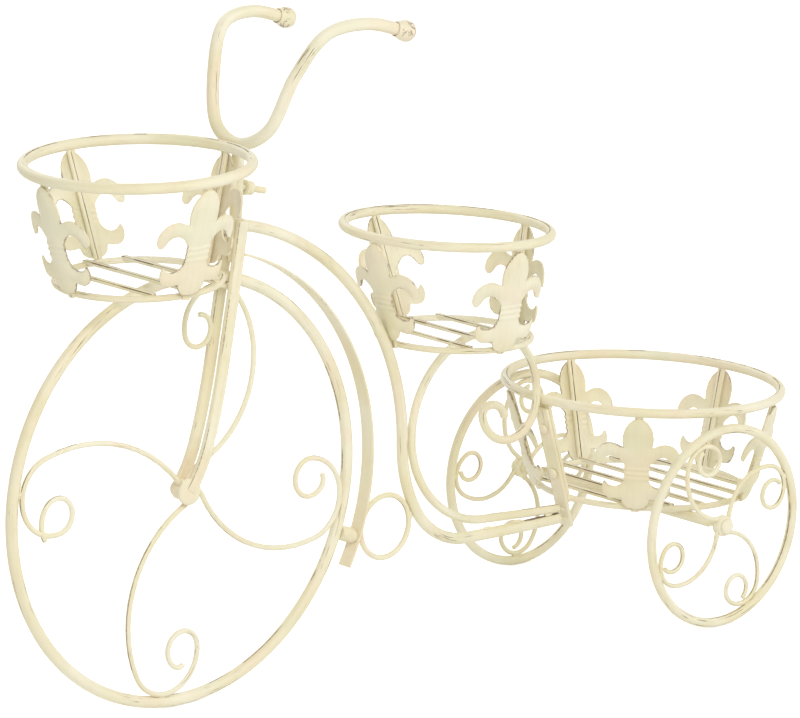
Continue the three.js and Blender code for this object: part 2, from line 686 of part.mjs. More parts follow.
function uprightLength(basket, line) {
  return flankFrame(basket, line).length - basket.rim.tube - UPRIGHT_TOP_GAP;
}

function flankBox(basket, line, { width, thickness, from, to, outset = 0 }) {
  const { foot, up, aside, outward } = flankFrame(basket, line);
  const centre = foot.clone().addScaledVector(up, (from + to) / 2).addScaledVector(outward, outset);
  const matrix = new THREE.Matrix4().makeBasis(outward, aside, up).setPosition(centre);
  return new THREE.BoxGeometry(thickness, width, to - from).applyMatrix4(matrix);
}

function ringTorus(ring, tube, sides, segments) {
  return new THREE.TorusGeometry(ring.radius, tube, sides, segments).applyMatrix4(ringMatrix(ring));
}

function cageGeometry(basket, extra, cutters) {
  const lift = BASKET_BASE_WIRE + SLAT_THICKNESS / 2 - WELD_DEPTH;
  const slats = Array.from({ length: basket.slatCount }, (_, i) => {
    const x = (i - (basket.slatCount - 1) / 2) * basket.slatSpacing;
    const reach = basket.base.radius + BASKET_BASE_WIRE / 2;
    const length = 2 * Math.sqrt(reach ** 2 - (Math.abs(x) + SLAT_WIDTH / 2) ** 2);
    const slat = new THREE.BoxGeometry(SLAT_WIDTH, length, SLAT_THICKNESS).translate(x, 0, lift);
    return slat.applyMatrix4(ringMatrix(basket.base));
  });
  const uprights = flankLines(basket).map((line) => flankBox(basket, line, {
    width: UPRIGHT_WIDTH,
    thickness: UPRIGHT_THICKNESS,
    from: -BASKET_BASE_WIRE,
    to: uprightLength(basket, line),
  }));
  const base = ringTorus(basket.base, BASKET_BASE_WIRE, WIRE_SIDES, 24);
  return cut(joined([base, ...slats, ...uprights, ...extra]), cutters);
}

// Right half of the fleur-de-lis outline, drawn 89 mm tall: x from its middle line, y up from its tip.
function fleurHalf() {
  const drawnHeight = 89;
  const scale = FLEUR_HEIGHT / drawnHeight;
  const lobe = [[0, 0], [5.5, 1.4], [9.8, 5], [11.4, 10.5]];
  const curl = [[17, 9.6], [23, 11.2], [27, 17], [26.4, 26.6], [22.5, 22], [16.5, 21.3], [11, 26]];
  const band = [[9.8, 32], [10, 42]];
  const arm = [[13.5, 48.5], [19, 52], [24.5, 50.6], [28.5, 44], [32.5, 43.4], [35.4, 49.5], [33.8, 57.5]];
  const shoulder = [[27.5, 63], [20, 63.6], [11.8, 60.4]];
  const petal = [[12.8, 70], [10.6, 79.5], [5.5, 86], [0, drawnHeight]];
  const outline = [...lobe, ...curl, ...band, ...arm, ...shoulder, ...petal];
  return new THREE.Shape(outline.map(([x, y]) => new THREE.Vector2(x * scale, y * scale)));
}

// Wraps a flat plate (x aside, y up, z outward) round a basket's flank.
function wrapped(geometry, basket, line, outset, base) {
  const position = geometry.attributes.position;
  const point = new THREE.Vector3();
  const { length } = flankFrame(basket, line);
  for (let i = 0; i < position.count; i++) {
    point.fromBufferAttribute(position, i);
    const height = base + point.y;
    const radius = THREE.MathUtils.lerp(basket.base.radius, basket.rim.radius, height / length);
    const turn = THREE.MathUtils.radToDeg(point.x / radius);
    const { foot, up, outward } = flankFrame(basket, flankLine(line.top + turn, line.foot + turn));
    const target = foot.clone().addScaledVector(up, height).addScaledVector(outward, outset + point.z);
    position.setXYZ(i, target.x, target.y, target.z);
  }
  return geometry;
}

// How far a flat upright's edges stand proud of the wrapped plate's own curve and twist.
function flatDip(basket, line) {
  const curve = FLEUR_NECK_WIDTH / (4 * basket.base.radius);
  const twist = Math.sin(radians(Math.abs(line.top - line.foot) / 2));
  return (UPRIGHT_WIDTH / 2) * (curve + twist);
}

function fleurGeometry(basket, line, cutters) {
  const right = new THREE.ExtrudeGeometry(fleurHalf(), { depth: FLEUR_THICKNESS, bevelEnabled: false });
  const left = right.clone().scale(-1, 1, 1);
  const index = Array.from({ length: left.attributes.position.count }, (_, i) => i);
  for (let i = 0; i < index.length; i += 3) [index[i], index[i + 1]] = [index[i + 1], index[i]];
  left.setIndex(index);
  const outset = UPRIGHT_THICKNESS / 2 + FIT + flatDip(basket, line);
  const top = flankFrame(basket, line).length - basket.rim.tube - FIT;
  const halves = [right, left].map((half) => wrapped(half, basket, line, outset, top - FLEUR_HEIGHT));
  return cut(joined(halves), cutters);
}

function buildBasket(basket, { extra = [], cutters = [], rimSegments = 32 } = {}) {
  place(`${basket.name}_rim`, ringTorus(basket.rim, basket.rim.tube, TUBE_SIDES, rimSegments));
  place(`${basket.name}_cage`, cageGeometry(basket, extra, cutters));
  flankLines(basket).forEach((line, i) => {
    place(`${basket.name}_fleur_${i + 1}`, fleurGeometry(basket, line, cutters), paintedSheet);
  });
}

// ---------------------------------------------------------------- rear basket strap

const strapLine = flankLine(180);
const strapOutset = UPRIGHT_THICKNESS / 2 + FIT + STRAP_THICKNESS / 2;

function strapGeometry() {
  const { foot, up, length } = flankFrame(REAR_BASKET, strapLine);
  const bottom = frameEnd.z - FRAME_TUBE - STRAP_BELOW_TUBE;
  return flankBox(REAR_BASKET, strapLine, {
    width: STRAP_WIDTH,
    thickness: STRAP_THICKNESS,
    from: (bottom - foot.z) / up.z,
    to: length - REAR_BASKET.rim.tube - STRAP_TOP_GAP,
    outset: strapOutset,
  });
}

function onStrap(share, outset) {
  const { foot, up, outward, length } = flankFrame(REAR_BASKET, strapLine);
  return foot.clone().addScaledVector(up, share * length).addScaledVector(outward, outset);
}

function strapBoltShares() {
  const { foot, up, length } = flankFrame(REAR_BASKET, strapLine);
  const archTopHere = frameEnd.z + FRAME_TUBE + 2 * ARCH_TUBE + FIT;
  const archShare = (archTopHere - foot.z) / (up.z * length);
  return [THREE.MathUtils.lerp(archShare, UPPER_BOLT_SHARE, LOWER_BOLT_SHARE), UPPER_BOLT_SHARE];
}

function strapBoltHole(share) {
  return cylinderBetween(onStrap(share, -20), onStrap(share, 20), STRAP_BOLT_SHANK + FIT, 8);
}

function buildStrap() {
  const holes = strapBoltShares().map(strapBoltHole);
  place('rear_basket_strap', cut(strapGeometry(), holes));
  const face = strapOutset + STRAP_THICKNESS / 2 + FIT;
  const inside = -UPRIGHT_THICKNESS / 2 - FIT;
  strapBoltShares().forEach((share, i) => {
    const bar = (from, to, radius, sides) =>
      cylinderBetween(onStrap(share, from), onStrap(share, to), radius, sides);
    const bolt = joined([
      bar(face, face + STRAP_BOLT_HEAD_HEIGHT, STRAP_BOLT_HEAD, 6),
      bar(face + 1, inside - 1, STRAP_BOLT_SHANK, 8),
      bar(inside, inside - STRAP_BOLT_HEAD_HEIGHT, STRAP_BOLT_HEAD, 6),
    ]);
    place(`strap_bolt_${i + 1}`, bolt, paintedFastener);
  });
}

// ---------------------------------------------------------------- frame tubes

function buildFrame() {
  const main = swept(framePath(), roundSection(FRAME_TUBE, TUBE_SIDES));
  const depth = 60;
  const behindStrapFace = flankBox(REAR_BASKET, strapLine, {
    width: depth,
    thickness: depth,
    from: -depth,
    to: depth,
    outset: strapOutset + STRAP_THICKNESS / 2 + FIT - depth / 2,
  });
  place('main_tube', cut(main, [stemGeometry(FIT), behindStrapFace]));
  place('arch_tube', cut(swept(archPath(), roundSection(ARCH_TUBE, TUBE_SIDES)), [behindStrapFace]));
}

// ---------------------------------------------------------------- assembly

buildFrontWheel();
buildHead();
buildHandlebar();
buildMudguard();
buildLoop();
buildFrame();
buildBasket(FRONT_BASKET, { cutters: [headBoltHole()] });
buildBasket(MIDDLE_BASKET);
buildBasket(REAR_BASKET, {
  rimSegments: 38,
  extra: [flankBox(REAR_BASKET, strapLine, {
    width: STRAP_WIDTH,
    thickness: UPRIGHT_THICKNESS,
    from: -BASKET_BASE_WIRE,
    to: uprightLength(REAR_BASKET, strapLine),
  })],
  cutters: strapBoltShares().map(strapBoltHole),
});
buildStrap();
buildAxle();
buildRearWheel('right', -1);
buildRearWheel('left', 1, LEFT_WHEEL_TURN);

// The origin is the middle of the stand's footprint, on the floor.
stand.updateMatrixWorld(true);
const bounds = new THREE.Box3().setFromObject(stand);
const model = new THREE.Group();
model.add(stand);
stand.position.x = -(bounds.min.x + bounds.max.x) / 2;

export default model;
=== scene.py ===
"""Flower cart stand: bent and welded steel wire under rubbed cream paint.

Lengths are in millimetres and X is counted from the front wheel's axle; show() turns a
finished piece into metres in the model's own frame.
"""
import math

import bmesh
import bpy
from mathutils import Matrix, Vector


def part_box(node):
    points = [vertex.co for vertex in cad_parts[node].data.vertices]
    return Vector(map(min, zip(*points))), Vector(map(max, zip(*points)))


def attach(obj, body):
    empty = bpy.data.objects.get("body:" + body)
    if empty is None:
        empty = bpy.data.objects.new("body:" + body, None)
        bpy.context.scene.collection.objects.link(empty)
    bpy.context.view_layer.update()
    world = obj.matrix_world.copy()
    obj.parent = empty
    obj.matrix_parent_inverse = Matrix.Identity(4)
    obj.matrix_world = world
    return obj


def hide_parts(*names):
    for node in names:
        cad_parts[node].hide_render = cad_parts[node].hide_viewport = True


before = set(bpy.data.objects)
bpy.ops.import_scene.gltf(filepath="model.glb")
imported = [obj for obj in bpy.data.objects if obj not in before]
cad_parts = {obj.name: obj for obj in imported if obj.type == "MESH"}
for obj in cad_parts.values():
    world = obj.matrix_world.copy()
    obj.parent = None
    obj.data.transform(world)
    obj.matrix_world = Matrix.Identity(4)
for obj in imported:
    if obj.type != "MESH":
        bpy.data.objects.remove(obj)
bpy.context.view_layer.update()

MM = 0.001
Y_AXIS = Vector((0, 1, 0))
Z_AXIS = Vector((0, 0, 1))


def middle_of(node):
    low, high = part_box(node)
    return (low + high) / 2 / MM


AXLE_X = middle_of("front_wheel_rim").x  # the front axle in the model's frame

# ---- sizes

FRONT_RIM, FRONT_TUBE = 173.8, 4.9
FRONT_Z = FRONT_RIM + FRONT_TUBE
FRONT_HUB, FRONT_HUB_HALF = 8.5, FRONT_TUBE + 0.4
FRONT_SPOKE_WIRE = 2.2
FRONT_SPOKE_Y = -3.0
FRONT_SPOKES = [
    ((10.9, -1.0), -22.9, [(8, -41), (144.1, 76.5), (96.8, 160.3), (65.1, 233.9), (12.5, 73)]),
    ((11.9, -0.8), -65.0, [(159.2, 88.6), (91.7, 158.9), (64.4, 239.7), (8.4, 71.6)]),
    ((7.0, -8.0), -50.6, [(151, 65.9), (99.4, 173.8), (58.7, 227.6), (27.7, 65.4)]),
    ((10.0, -3.0), -35.7, [(19, -32.4), (156.6, 104.9), (83.3, 154.8), (47.7, 202.5), (11.7, 59.4)]),
]
REAR_RIM, REAR_TUBE = 83.5, 4.0
REAR_Z = REAR_RIM + REAR_TUBE
REAR_AXLE_X = 486.6
REAR_TRACK = 248.8
REAR_HUB, REAR_HUB_WIDTH, REAR_HUB_BORE = 8.8, 8.0, 3.4
AXLE_RADIUS, AXLE_STUB = 4.5, 3
RUNNING_GAP = 0.4
REAR_SPOKE_WIRE = 2.0
REAR_SPOKE = ((7.3, 8.8), 79.0, [(66, -88), (42.5, -119), (48, -225), (12, -60)])
LEFT_WHEEL_TURN = 27.0
SPOKE_LEAD = 5.0  # how far inside the hub a spoke starts
GAP = 0.3  # between pieces that are welded or bolted together

STEM_RADIUS = 5.2
STEM_FOOT = Vector((52.6, 0, 358))
STEM_LEAN = math.radians(3)
BLADE_WIDTH, BLADE_THICKNESS = 10.5, 5.0
BLADE_Y = FRONT_TUBE + 0.7 + BLADE_THICKNESS / 2
PADDLE_RADIUS, FAR_FOOT_RADIUS = 11.0, BLADE_WIDTH / 2 + 1.5
BLADE_HEADING = 52.0
BLADE_BENDS = [(40, 20), (60, 7), (122, 2)]
BAR_TUBE = 5.2
BAR_BASE = Vector((57.7, 0, 453))
BAR_LEAN = math.radians(-4)
BAR_ARM = [(4.3, 32, 12.5), (19.5, 50, 56), (42.5, 63, 87), (78, 70, 92), (115, 73, 82.5)]
GRIP_BALL = 8.8
HEAD_BOLT_Z = 419
SHANK_RADIUS, SHANK_BORE = 2.8, 3.1
WASHER_THICKNESS, NUT_LENGTH, BOLT_PAST_NUT = 2.4, 6, 14

GUARD_WIDTH, GUARD_THICKNESS = 14.0, 2.0
GUARD_RADIUS = FRONT_RIM + FRONT_TUBE + 13.3 + GUARD_THICKNESS / 2
GUARD_SET_BACK = 4.0
GUARD_END = -29.6
SPACER_HALF, SPACER_HEADING = 8.1, math.radians(-21.5)
LOOP_RADIUS, LOOP_WIRE = 26.5, 2.3

FRAME_TUBE = 4.8
FRAME_START_Z = 388.2
FRAME_HEADING = -10.9
FRAME_BENDS = [(203.6, -51.6), (98.3, -28), (61.7, 30.8), (68.8, 57.1), (106.4, 3)]
ARCH_TUBE = 3.6
ARCH_HEADING = 176.5
ARCH_BENDS = [(87.9, -1.2), (88.9, -57.1), (171.2, -125.9), (99, -92.9), (85, -157.9), (10.3, -83.6),
              (27.1, -99.4)]
LOW_ENDS = 130  # only the parts of the two tubes below this height end at the strap
CREVICE_X, CREVICE_Z = 335, 85.3  # where the main tube's top lies under the arch tube and takes painted shade

UPRIGHT_WIDTH, UPRIGHT_THICKNESS = 7.0, 3.0
SLAT_WIDTH, SLAT_THICKNESS = 5.0, 3.0
SLAT_SHADE_LINES = (0.2, 0.2, 1.9, 1.9)  # painted shade: a dark line along the upper corners
BASE_WIRE = 2.7
WELD_DEPTH = 1.6
PLATE_HEIGHT, PLATE_THICKNESS = 89.0, 1.6


class Basket:
    """Rim and base ring as (x, z, radius, tilt), and each plate's place as (top, foot) degrees."""

    def __init__(self, name, rim, base, rim_tube, plates, slat_spacing, slats):
        self.name, self.rim, self.base, self.rim_tube = name, rim, base, rim_tube
        self.plates, self.slat_spacing, self.slats = plates, slat_spacing, slats


BASKETS = [
    Basket("front_basket", (-46, 451.2, 90.1, -0.9), (-45.5, 358.2, 66, -0.9), 4.5,
           [(0, 0), (87.8, 78), (176.2, 181.7), (268.7, 263.3)], 32, 3),
    Basket("middle_basket", (282.5, 352.3, 85.9, 3.5), (291, None, 64, 2), 4.1,
           [(-1.5, 0), (92.7, 86.5), (184, 180), (270.7, 262.8)], 32, 3),
    Basket("rear_basket", (511.3, 183.1, 118.2, 2.85), (511, None, 89, 2.85), 4.1,
           [(9.6, 9.2), (78.1, 79.9), (151.5, 151.5), (224.4, 222.7), (296.5, 296.5)], 27, 6),
]
FRONT_BASKET, MIDDLE_BASKET, REAR_BASKET = BASKETS
STRAP_WIDTH, STRAP_THICKNESS = 15.0, 3.0
STRAP_LINE = (180, 180)
STRAP_BOLTS = (0.27, 0.72)  # shares of the flank's length


def stem_x(z):
    return STEM_FOOT.x + (z - STEM_FOOT.z) * math.tan(STEM_LEAN)


# ---- paint

def link(tree, source, target):
    tree.links.new(source, target)


def node(tree, kind, inputs=None, **settings):
    """A node with its settings, and its inputs linked to the sockets or set to the values given."""
    made = tree.nodes.new(kind)
    for name, value in settings.items():
        setattr(made, name, value)
    for name, value in (inputs or {}).items():
        socket = made.inputs[name]
        if isinstance(value, bpy.types.NodeSocket):
            link(tree, value, socket)
        else:
            socket.default_value = value
    return made


def maths(tree, operation, *values, clamp=False):
    made = node(tree, "ShaderNodeMath", dict(enumerate(values)), operation=operation, use_clamp=clamp)
    return made.outputs[0]


def product(tree, *values, clamp=False):
    return maths(tree, "MULTIPLY", *values, clamp=clamp)


def vector_maths(tree, operation, first, second):
    return node(tree, "ShaderNodeVectorMath", {0: first, 1: second}, operation=operation).outputs[0]


def mixed(tree, factor, first, second):
    return node(tree, "ShaderNodeMix", {0: factor, 6: first, 7: second}, data_type="RGBA").outputs[2]


def between(tree, value, low, high):
    """Smooth 0 to 1 as the value passes from low to high."""
    return node(tree, "ShaderNodeMapRange", {"Value": value, "From Min": low, "From Max": high},
                interpolation_type="SMOOTHSTEP").outputs["Result"]


def noise(tree, vector, scale, detail=2.0, roughness=0.5, distortion=0.0):
    return node(tree, "ShaderNodeTexNoise", {
        "Vector": vector, "Scale": scale, "Detail": detail, "Roughness": roughness,
        "Distortion": distortion}).outputs["Fac"]


def new_group(name, inputs, outputs):
    """A node group; an input takes a vector, colour or number as its value has three, four or no parts."""
    tree = bpy.data.node_groups.new(name, "ShaderNodeTree")
    for label, value in inputs.items():
        kind = {3: "Vector", 4: "Color"}[len(value)] if isinstance(value, tuple) else "Float"
        socket = tree.interface.new_socket(name=label, in_out="INPUT", socket_type="NodeSocket" + kind)
        socket.default_value = value
    for label, kind in outputs.items():
        tree.interface.new_socket(name=label, in_out="OUTPUT", socket_type="NodeSocket" + kind)
    return tree, tree.nodes.new("NodeGroupInput").outputs, tree.nodes.new("NodeGroupOutput").inputs


def brushed_cream_group():
    """Cream paint laid on by brush: drifting tints, soft gold shading and faint mottling."""
    tree, given, out = new_group(
        "brushed_cream",
        {"Place": (0, 0, 0), "Flow": (0, 0, 0), "Cream": CREAM, "Pale": PALE, "Gold": GOLD,
         "Gold share": 0.5},
        {"Color": "Color", "Height": "Float"})
    place, flow = given["Place"], given["Flow"]
    drift = between(tree, noise(tree, place, 11, 2), 0.36, 0.64)
    tint = mixed(tree, drift, given["Cream"], given["Pale"])
    blush = product(tree, between(tree, noise(tree, place, 17, 2, 0.5, 0.4), 0.5, 0.68), 0.55)
    tint = mixed(tree, blush, tint, BLUSH)
    elsewhere = vector_maths(tree, "ADD", place, (3.1, 1.7, 0.4))
    moss = product(tree, between(tree, noise(tree, elsewhere, 14, 2, 0.5, 0.4), 0.52, 0.7), 0.5)
    tint = mixed(tree, moss, tint, MOSS)
    patch = between(tree, noise(tree, place, 27, 3, 0.55, 0.6), 0.5, 0.76)
    brush = vector_maths(tree, "MULTIPLY", flow, LONG_STROKES)
    strokes = between(tree, noise(tree, brush, 1.0, 3, 0.55), 0.46, 0.74)
    golden = maths(tree, "ADD", product(tree, patch, 0.45), product(tree, strokes, 0.4))
    gold = product(tree, given["Gold share"], golden, clamp=True)
    link(tree, mixed(tree, gold, tint, given["Gold"]), out["Color"])
    link(tree, noise(tree, place, 420, 2), out["Height"])
    return tree


def wear_and_shade_marks_group():
    """Where the paint is rubbed through: along sharp edges, in thin scuffs along a bar, and in cracks; the
    same brown also paints shade in crevices, groove floors and slat corners.
    """
    tree, given, out = new_group(
        "rubbed_marks",
        {"Place": (0, 0, 0), "Flow": (0, 0, 0), "Edge": 0.0, "Edge share": 0.5, "Scuff share": 0.5,
         "Crack share": 0.0},
        {"Rubbed": "Float", "Halo": "Float"})
    place, flow = given["Place"], given["Flow"]
    # an edge is rubbed in patches, and all along where its value is above 1, which is also where lines of
    # painted shade are set
    broken = between(tree, noise(tree, place, 19, 3, 0.6), 0.42, 0.58)
    lasting = maths(tree, "MAXIMUM", broken, between(tree, given["Edge"], 1.2, 1.8))
    ragged = maths(tree, "ADD", noise(tree, place, 380, 2), 0.5)
    edge_wear_and_shade = product(tree, product(tree, given["Edge"], given["Edge share"]), lasting)
    edge = between(tree, product(tree, edge_wear_and_shade, ragged), 0.38, 0.95)
    marks = noise(tree, vector_maths(tree, "MULTIPLY", flow, THIN_MARKS), 1.0, 3, 0.6)
    zone = product(tree, between(tree, noise(tree, place, 13, 1), 0.5, 0.62), given["Scuff share"])
    scuff = product(tree, between(tree, marks, 0.605, 0.69), zone)
    halo = product(tree, between(tree, marks, 0.52, 0.68), zone)
    bent = vector_maths(tree, "ADD", place, product(tree, noise(tree, place, 260, 2), 0.004))
    cell = node(tree, "ShaderNodeTexVoronoi", {"Vector": bent, "Scale": 150}, feature="DISTANCE_TO_EDGE")
    cracked = product(tree, between(tree, noise(tree, place, 95, 1), 0.44, 0.58), given["Crack share"])
    crack = product(tree, between(tree, cell.outputs["Distance"], 0.07, 0.015), cracked)
    rubbed = maths(tree, "MAXIMUM", maths(tree, "MAXIMUM", edge, scuff), crack, clamp=True)
    link(tree, rubbed, out["Rubbed"])
    edge_halo = product(tree, given["Edge"], 0.35)
    link(tree, maths(tree, "MAXIMUM", edge_halo, halo, clamp=True), out["Halo"])
    return tree


# strokes per millimetre along the bar and across it; the groups' other noise scales are per metre
LONG_STROKES = (0.016, 0.3, 0.3)
THIN_MARKS = (0.035, 0.8, 0.8)
CREAM = (0.82, 0.75, 0.5, 1)
PALE = (0.87, 0.82, 0.63, 1)
BLUSH = (0.865, 0.735, 0.54, 1)
MOSS = (0.77, 0.75, 0.52, 1)
GOLD = (0.73, 0.62, 0.37, 1)
# brown where the paint is rubbed through, and the painted shade in crevices, groove floors and slat corners
BROWN = (0.215, 0.15, 0.085, 1)
BRUSHED = brushed_cream_group()
WEAR_AND_SHADE = wear_and_shade_marks_group()


def worn_and_shaded_paint(name, gold_share, edge_share, scuff_share, crack_share=0.0, roughness=0.5):
    """Brushed cream paint over a brown ground that shows where it is rubbed, with a gold halo round it; the
    brown also paints shade in crevices, groove floors and slat corners.
    """
    material = bpy.data.materials.new(name)
    material.use_nodes = True
    tree = material.node_tree
    shader = tree.nodes["Principled BSDF"]
    place = tree.nodes.new("ShaderNodeTexCoord").outputs["Object"]
    flow = node(tree, "ShaderNodeAttribute", attribute_name="flow").outputs["Vector"]
    edge = node(tree, "ShaderNodeAttribute", attribute_name="edge").outputs["Fac"]
    paint = node(tree, "ShaderNodeGroup", node_tree=BRUSHED)
    marks = node(tree, "ShaderNodeGroup", node_tree=WEAR_AND_SHADE)
    for layer, values in (
            (paint, {"Cream": CREAM, "Pale": PALE, "Gold": GOLD, "Gold share": gold_share}),
            (marks, {"Edge share": edge_share, "Scuff share": scuff_share, "Crack share": crack_share})):
        link(tree, place, layer.inputs["Place"])
        link(tree, flow, layer.inputs["Flow"])
        for label, value in values.items():
            layer.inputs[label].default_value = value
    link(tree, edge, marks.inputs["Edge"])
    mottling, rubbed = paint.outputs["Height"], marks.outputs["Rubbed"]
    haloed = mixed(tree, product(tree, marks.outputs["Halo"], 0.55), paint.outputs["Color"], GOLD)
    # the brown marks show rubbed paint, and painted shade in crevices, groove floors and slat corners
    link(tree, mixed(tree, rubbed, haloed, BROWN), shader.inputs["Base Color"])
    painted_roughness = maths(tree, "ADD", product(tree, mottling, 0.12), roughness - 0.06)
    rough = maths(tree, "ADD", product(tree, rubbed, 0.18), painted_roughness)
    link(tree, rough, shader.inputs["Roughness"])
    relief = maths(tree, "SUBTRACT", mottling, rubbed)
    bump = node(tree, "ShaderNodeBump", {"Height": relief, "Strength": 0.35, "Distance": 0.00025})
    link(tree, bump.outputs["Normal"], shader.inputs["Normal"])
    return material


STEEL = worn_and_shaded_paint("cream_rod_paint", 0.7, 1.0, 0.9)
SHEET = worn_and_shaded_paint("cream_sheet_paint", 0.45, 0.62, 0.1, roughness=0.55)
FASTENER = worn_and_shaded_paint("cream_fastener_paint", 1.0, 0.8, 0.5, roughness=0.45)
GRIP = worn_and_shaded_paint("cream_grip_paint", 0.8, 0.8, 0.5, crack_share=0.75, roughness=0.45)

# ---- making and showing pieces


def new_piece():
    """A mesh under way, with what the paint follows: flow along a bar, and worn edges with lines of painted
    shade.
    """
    bm = bmesh.new()
    bm.verts.layers.float_vector.new("flow")
    bm.verts.layers.float.new("edge")
    return bm


def layers_of(bm):
    return bm.verts.layers.float_vector["flow"], bm.verts.layers.float["edge"]


def show(bm, name, material=STEEL, sharp=40):
    """Closes the mesh and puts it in the scene in place of the CAD node of that name."""
    bmesh.ops.remove_doubles(bm, verts=bm.verts, dist=1e-3)
    bmesh.ops.recalc_face_normals(bm, faces=bm.faces)
    bmesh.ops.translate(bm, vec=(AXLE_X, 0, 0), verts=bm.verts)
    bmesh.ops.scale(bm, vec=(MM, MM, MM), verts=bm.verts)
    mesh = bpy.data.meshes.new(name + "_painted")
    bm.to_mesh(mesh)
    bm.free()
    mesh.polygons.foreach_set("use_smooth", [True] * len(mesh.polygons))
    mesh.set_sharp_from_angle(angle=math.radians(sharp))
    mesh.materials.append(material)
    piece = bpy.data.objects.new(name + "_painted", mesh)
    bpy.context.scene.collection.objects.link(piece)
    body = next((side for side in ("right_wheel", "left_wheel") if name.startswith(side)), "stand")
    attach(piece, body)
    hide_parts(name)


def new_edges(result, key):
    return [e for e in result[key] if isinstance(e, bmesh.types.BMEdge)]


def new_verts(result, key):
    return [v for v in result[key] if isinstance(v, bmesh.types.BMVert)]


def round_section(bm, radius, sides, worn=None):
    """A circle; worn is the direction, in degrees, of the side where a line of paint is rubbed off."""
    verts = bmesh.ops.create_circle(bm, cap_ends=False, segments=sides, radius=radius)["verts"]
    if worn is not None:
        edge = layers_of(bm)[1]
        side = Vector((math.cos(math.radians(worn)), math.sin(math.radians(worn)), 0)) * radius
        nearest = min(verts, key=lambda v: (v.co - side).length)
        nearest[edge] = 1.0
    return verts


def flat_section(bm, width, thickness, corner, sides=16, rubbed=(1, 1, 1, 1), reach=0.9):
    """A flat bar's outline with rounded corners, from a circle drawn apart at its axes.

    rubbed says how bare each corner is, or on the slats how much painted shade it takes, counted round from
    (+x, +y), and reach how wide that line is.
    """
    verts = round_section(bm, corner, sides)
    bmesh.ops.rotate(bm, cent=(0, 0, 0), matrix=Matrix.Rotation(math.pi / sides, 3, "Z"), verts=verts)
    for v in verts:
        v.co.x += math.copysign(width / 2 - corner, v.co.x)
        v.co.y += math.copysign(thickness / 2 - corner, v.co.y)
    for side in edges_among(verts):
        start, end = side.verts
        length = side.calc_length()
        if length < 2.5 * reach:
            continue
        near, far = start.co.lerp(end.co, reach / length), end.co.lerp(start.co, reach / length)
        _, first = bmesh.utils.edge_split(side, start, 0.3)
        first.co = near
        onward = next(e for e in first.link_edges if e.other_vert(first) is end)
        _, second = bmesh.utils.edge_split(onward, first, 0.5)
        second.co = far
        verts += [first, second]
    edge = layers_of(bm)[1]
    tips = [Vector((x * (width / 2 - 0.3 * corner), y * (thickness / 2 - 0.3 * corner), 0))
            for x, y in ((1, 1), (-1, 1), (-1, -1), (1, -1))]
    for v in verts:
        v[edge] = max(share * max(0.0, 1 - (v.co - tip).length / reach) for tip, share in zip(tips, rubbed))
    return verts


def edges_among(verts):
    inside = set(verts)
    return list(dict.fromkeys(e for v in verts for e in v.link_edges if e.other_vert(v) in inside))


def cap(bm, edges):
    bmesh.ops.contextual_create(bm, geom=edges)


def soften(bm, edges, width, segments=3):
    bmesh.ops.bevel(bm, geom=edges, offset=width, segments=segments, profile=0.5, affect="EDGES",
                    material=-1, clamp_overlap=True)


def carried_round(bm, edges, centre, axis, angle):
    """Spins a section one step, and gives its new edges and corners."""
    made = bmesh.ops.spin(bm, geom=edges, cent=centre, axis=axis, steps=1, angle=angle,
                          use_merge=False, use_duplicate=False)
    return new_edges(made, "geom_last"), new_verts(made, "geom_last")


def keep_flow(bm, verts, along):
    """Notes how far along the bar a section lies, and each corner's place in the section."""
    flow = layers_of(bm)[0]
    middle = sum((v.co for v in verts), Vector()) / len(verts)
    for v in verts:
        offset = v.co - middle
        v[flow] = Vector((along, offset.y, math.hypot(offset.x, offset.z) * (1 if offset.x >= 0 else -1)))


def bent_bar(bm, start, heading, bends, section, y=0.0, step=7.0, scale=1.0, round_by=0.0):
    """Carries a section along bends in an XZ plane, each given as (length, degrees turned)."""
    x, z = start
    face = Matrix.Rotation(math.radians(90 - heading), 4, "Y")
    bmesh.ops.transform(bm, matrix=Matrix.Translation((x, y, z)) @ face, verts=section)
    first = edges = edges_among(section)
    along, angle = 0.0, math.radians(heading)
    keep_flow(bm, section, along)
    for length, turn in bends:
        length *= scale
        if abs(turn) < 0.01:
            verts = new_verts(bmesh.ops.extrude_edge_only(bm, edges=edges), "geom")
            bmesh.ops.translate(bm, vec=(length * math.cos(angle), 0, length * math.sin(angle)), verts=verts)
            x, z = x + length * math.cos(angle), z + length * math.sin(angle)
            along += length
            keep_flow(bm, verts, along)
            edges = edges_among(verts)
            continue
        radius = length / math.radians(turn)
        centre = Vector((x - radius * math.sin(angle), y, z + radius * math.cos(angle)))
        steps = max(2, math.ceil(abs(turn) / step))
        for _ in range(steps):
            edges, verts = carried_round(bm, edges, centre, -Y_AXIS, math.radians(turn) / steps)
            along += length / steps
            keep_flow(bm, verts, along)
        angle += math.radians(turn)
        x, z = centre.x + radius * math.sin(angle), centre.z - radius * math.cos(angle)
    cap(bm, first)
    cap(bm, edges)
    if round_by:
        soften(bm, first + edges, round_by)


def path_points(start, heading, bends, samples=24):
    """Points along the same bends, for finding a wire's reach."""
    x, z = start
    angle = math.radians(heading)
    found = [(x, z)]
    for length, turn in bends:
        for i in range(1, samples + 1):
            half = math.radians(turn) * i / samples / 2
            chord = length * i / samples * (math.sin(half) / half if half else 1)
            found.append((x + chord * math.cos(angle + half), z + chord * math.sin(angle + half)))
        x, z = found[-1]
        angle += math.radians(turn)
    return found


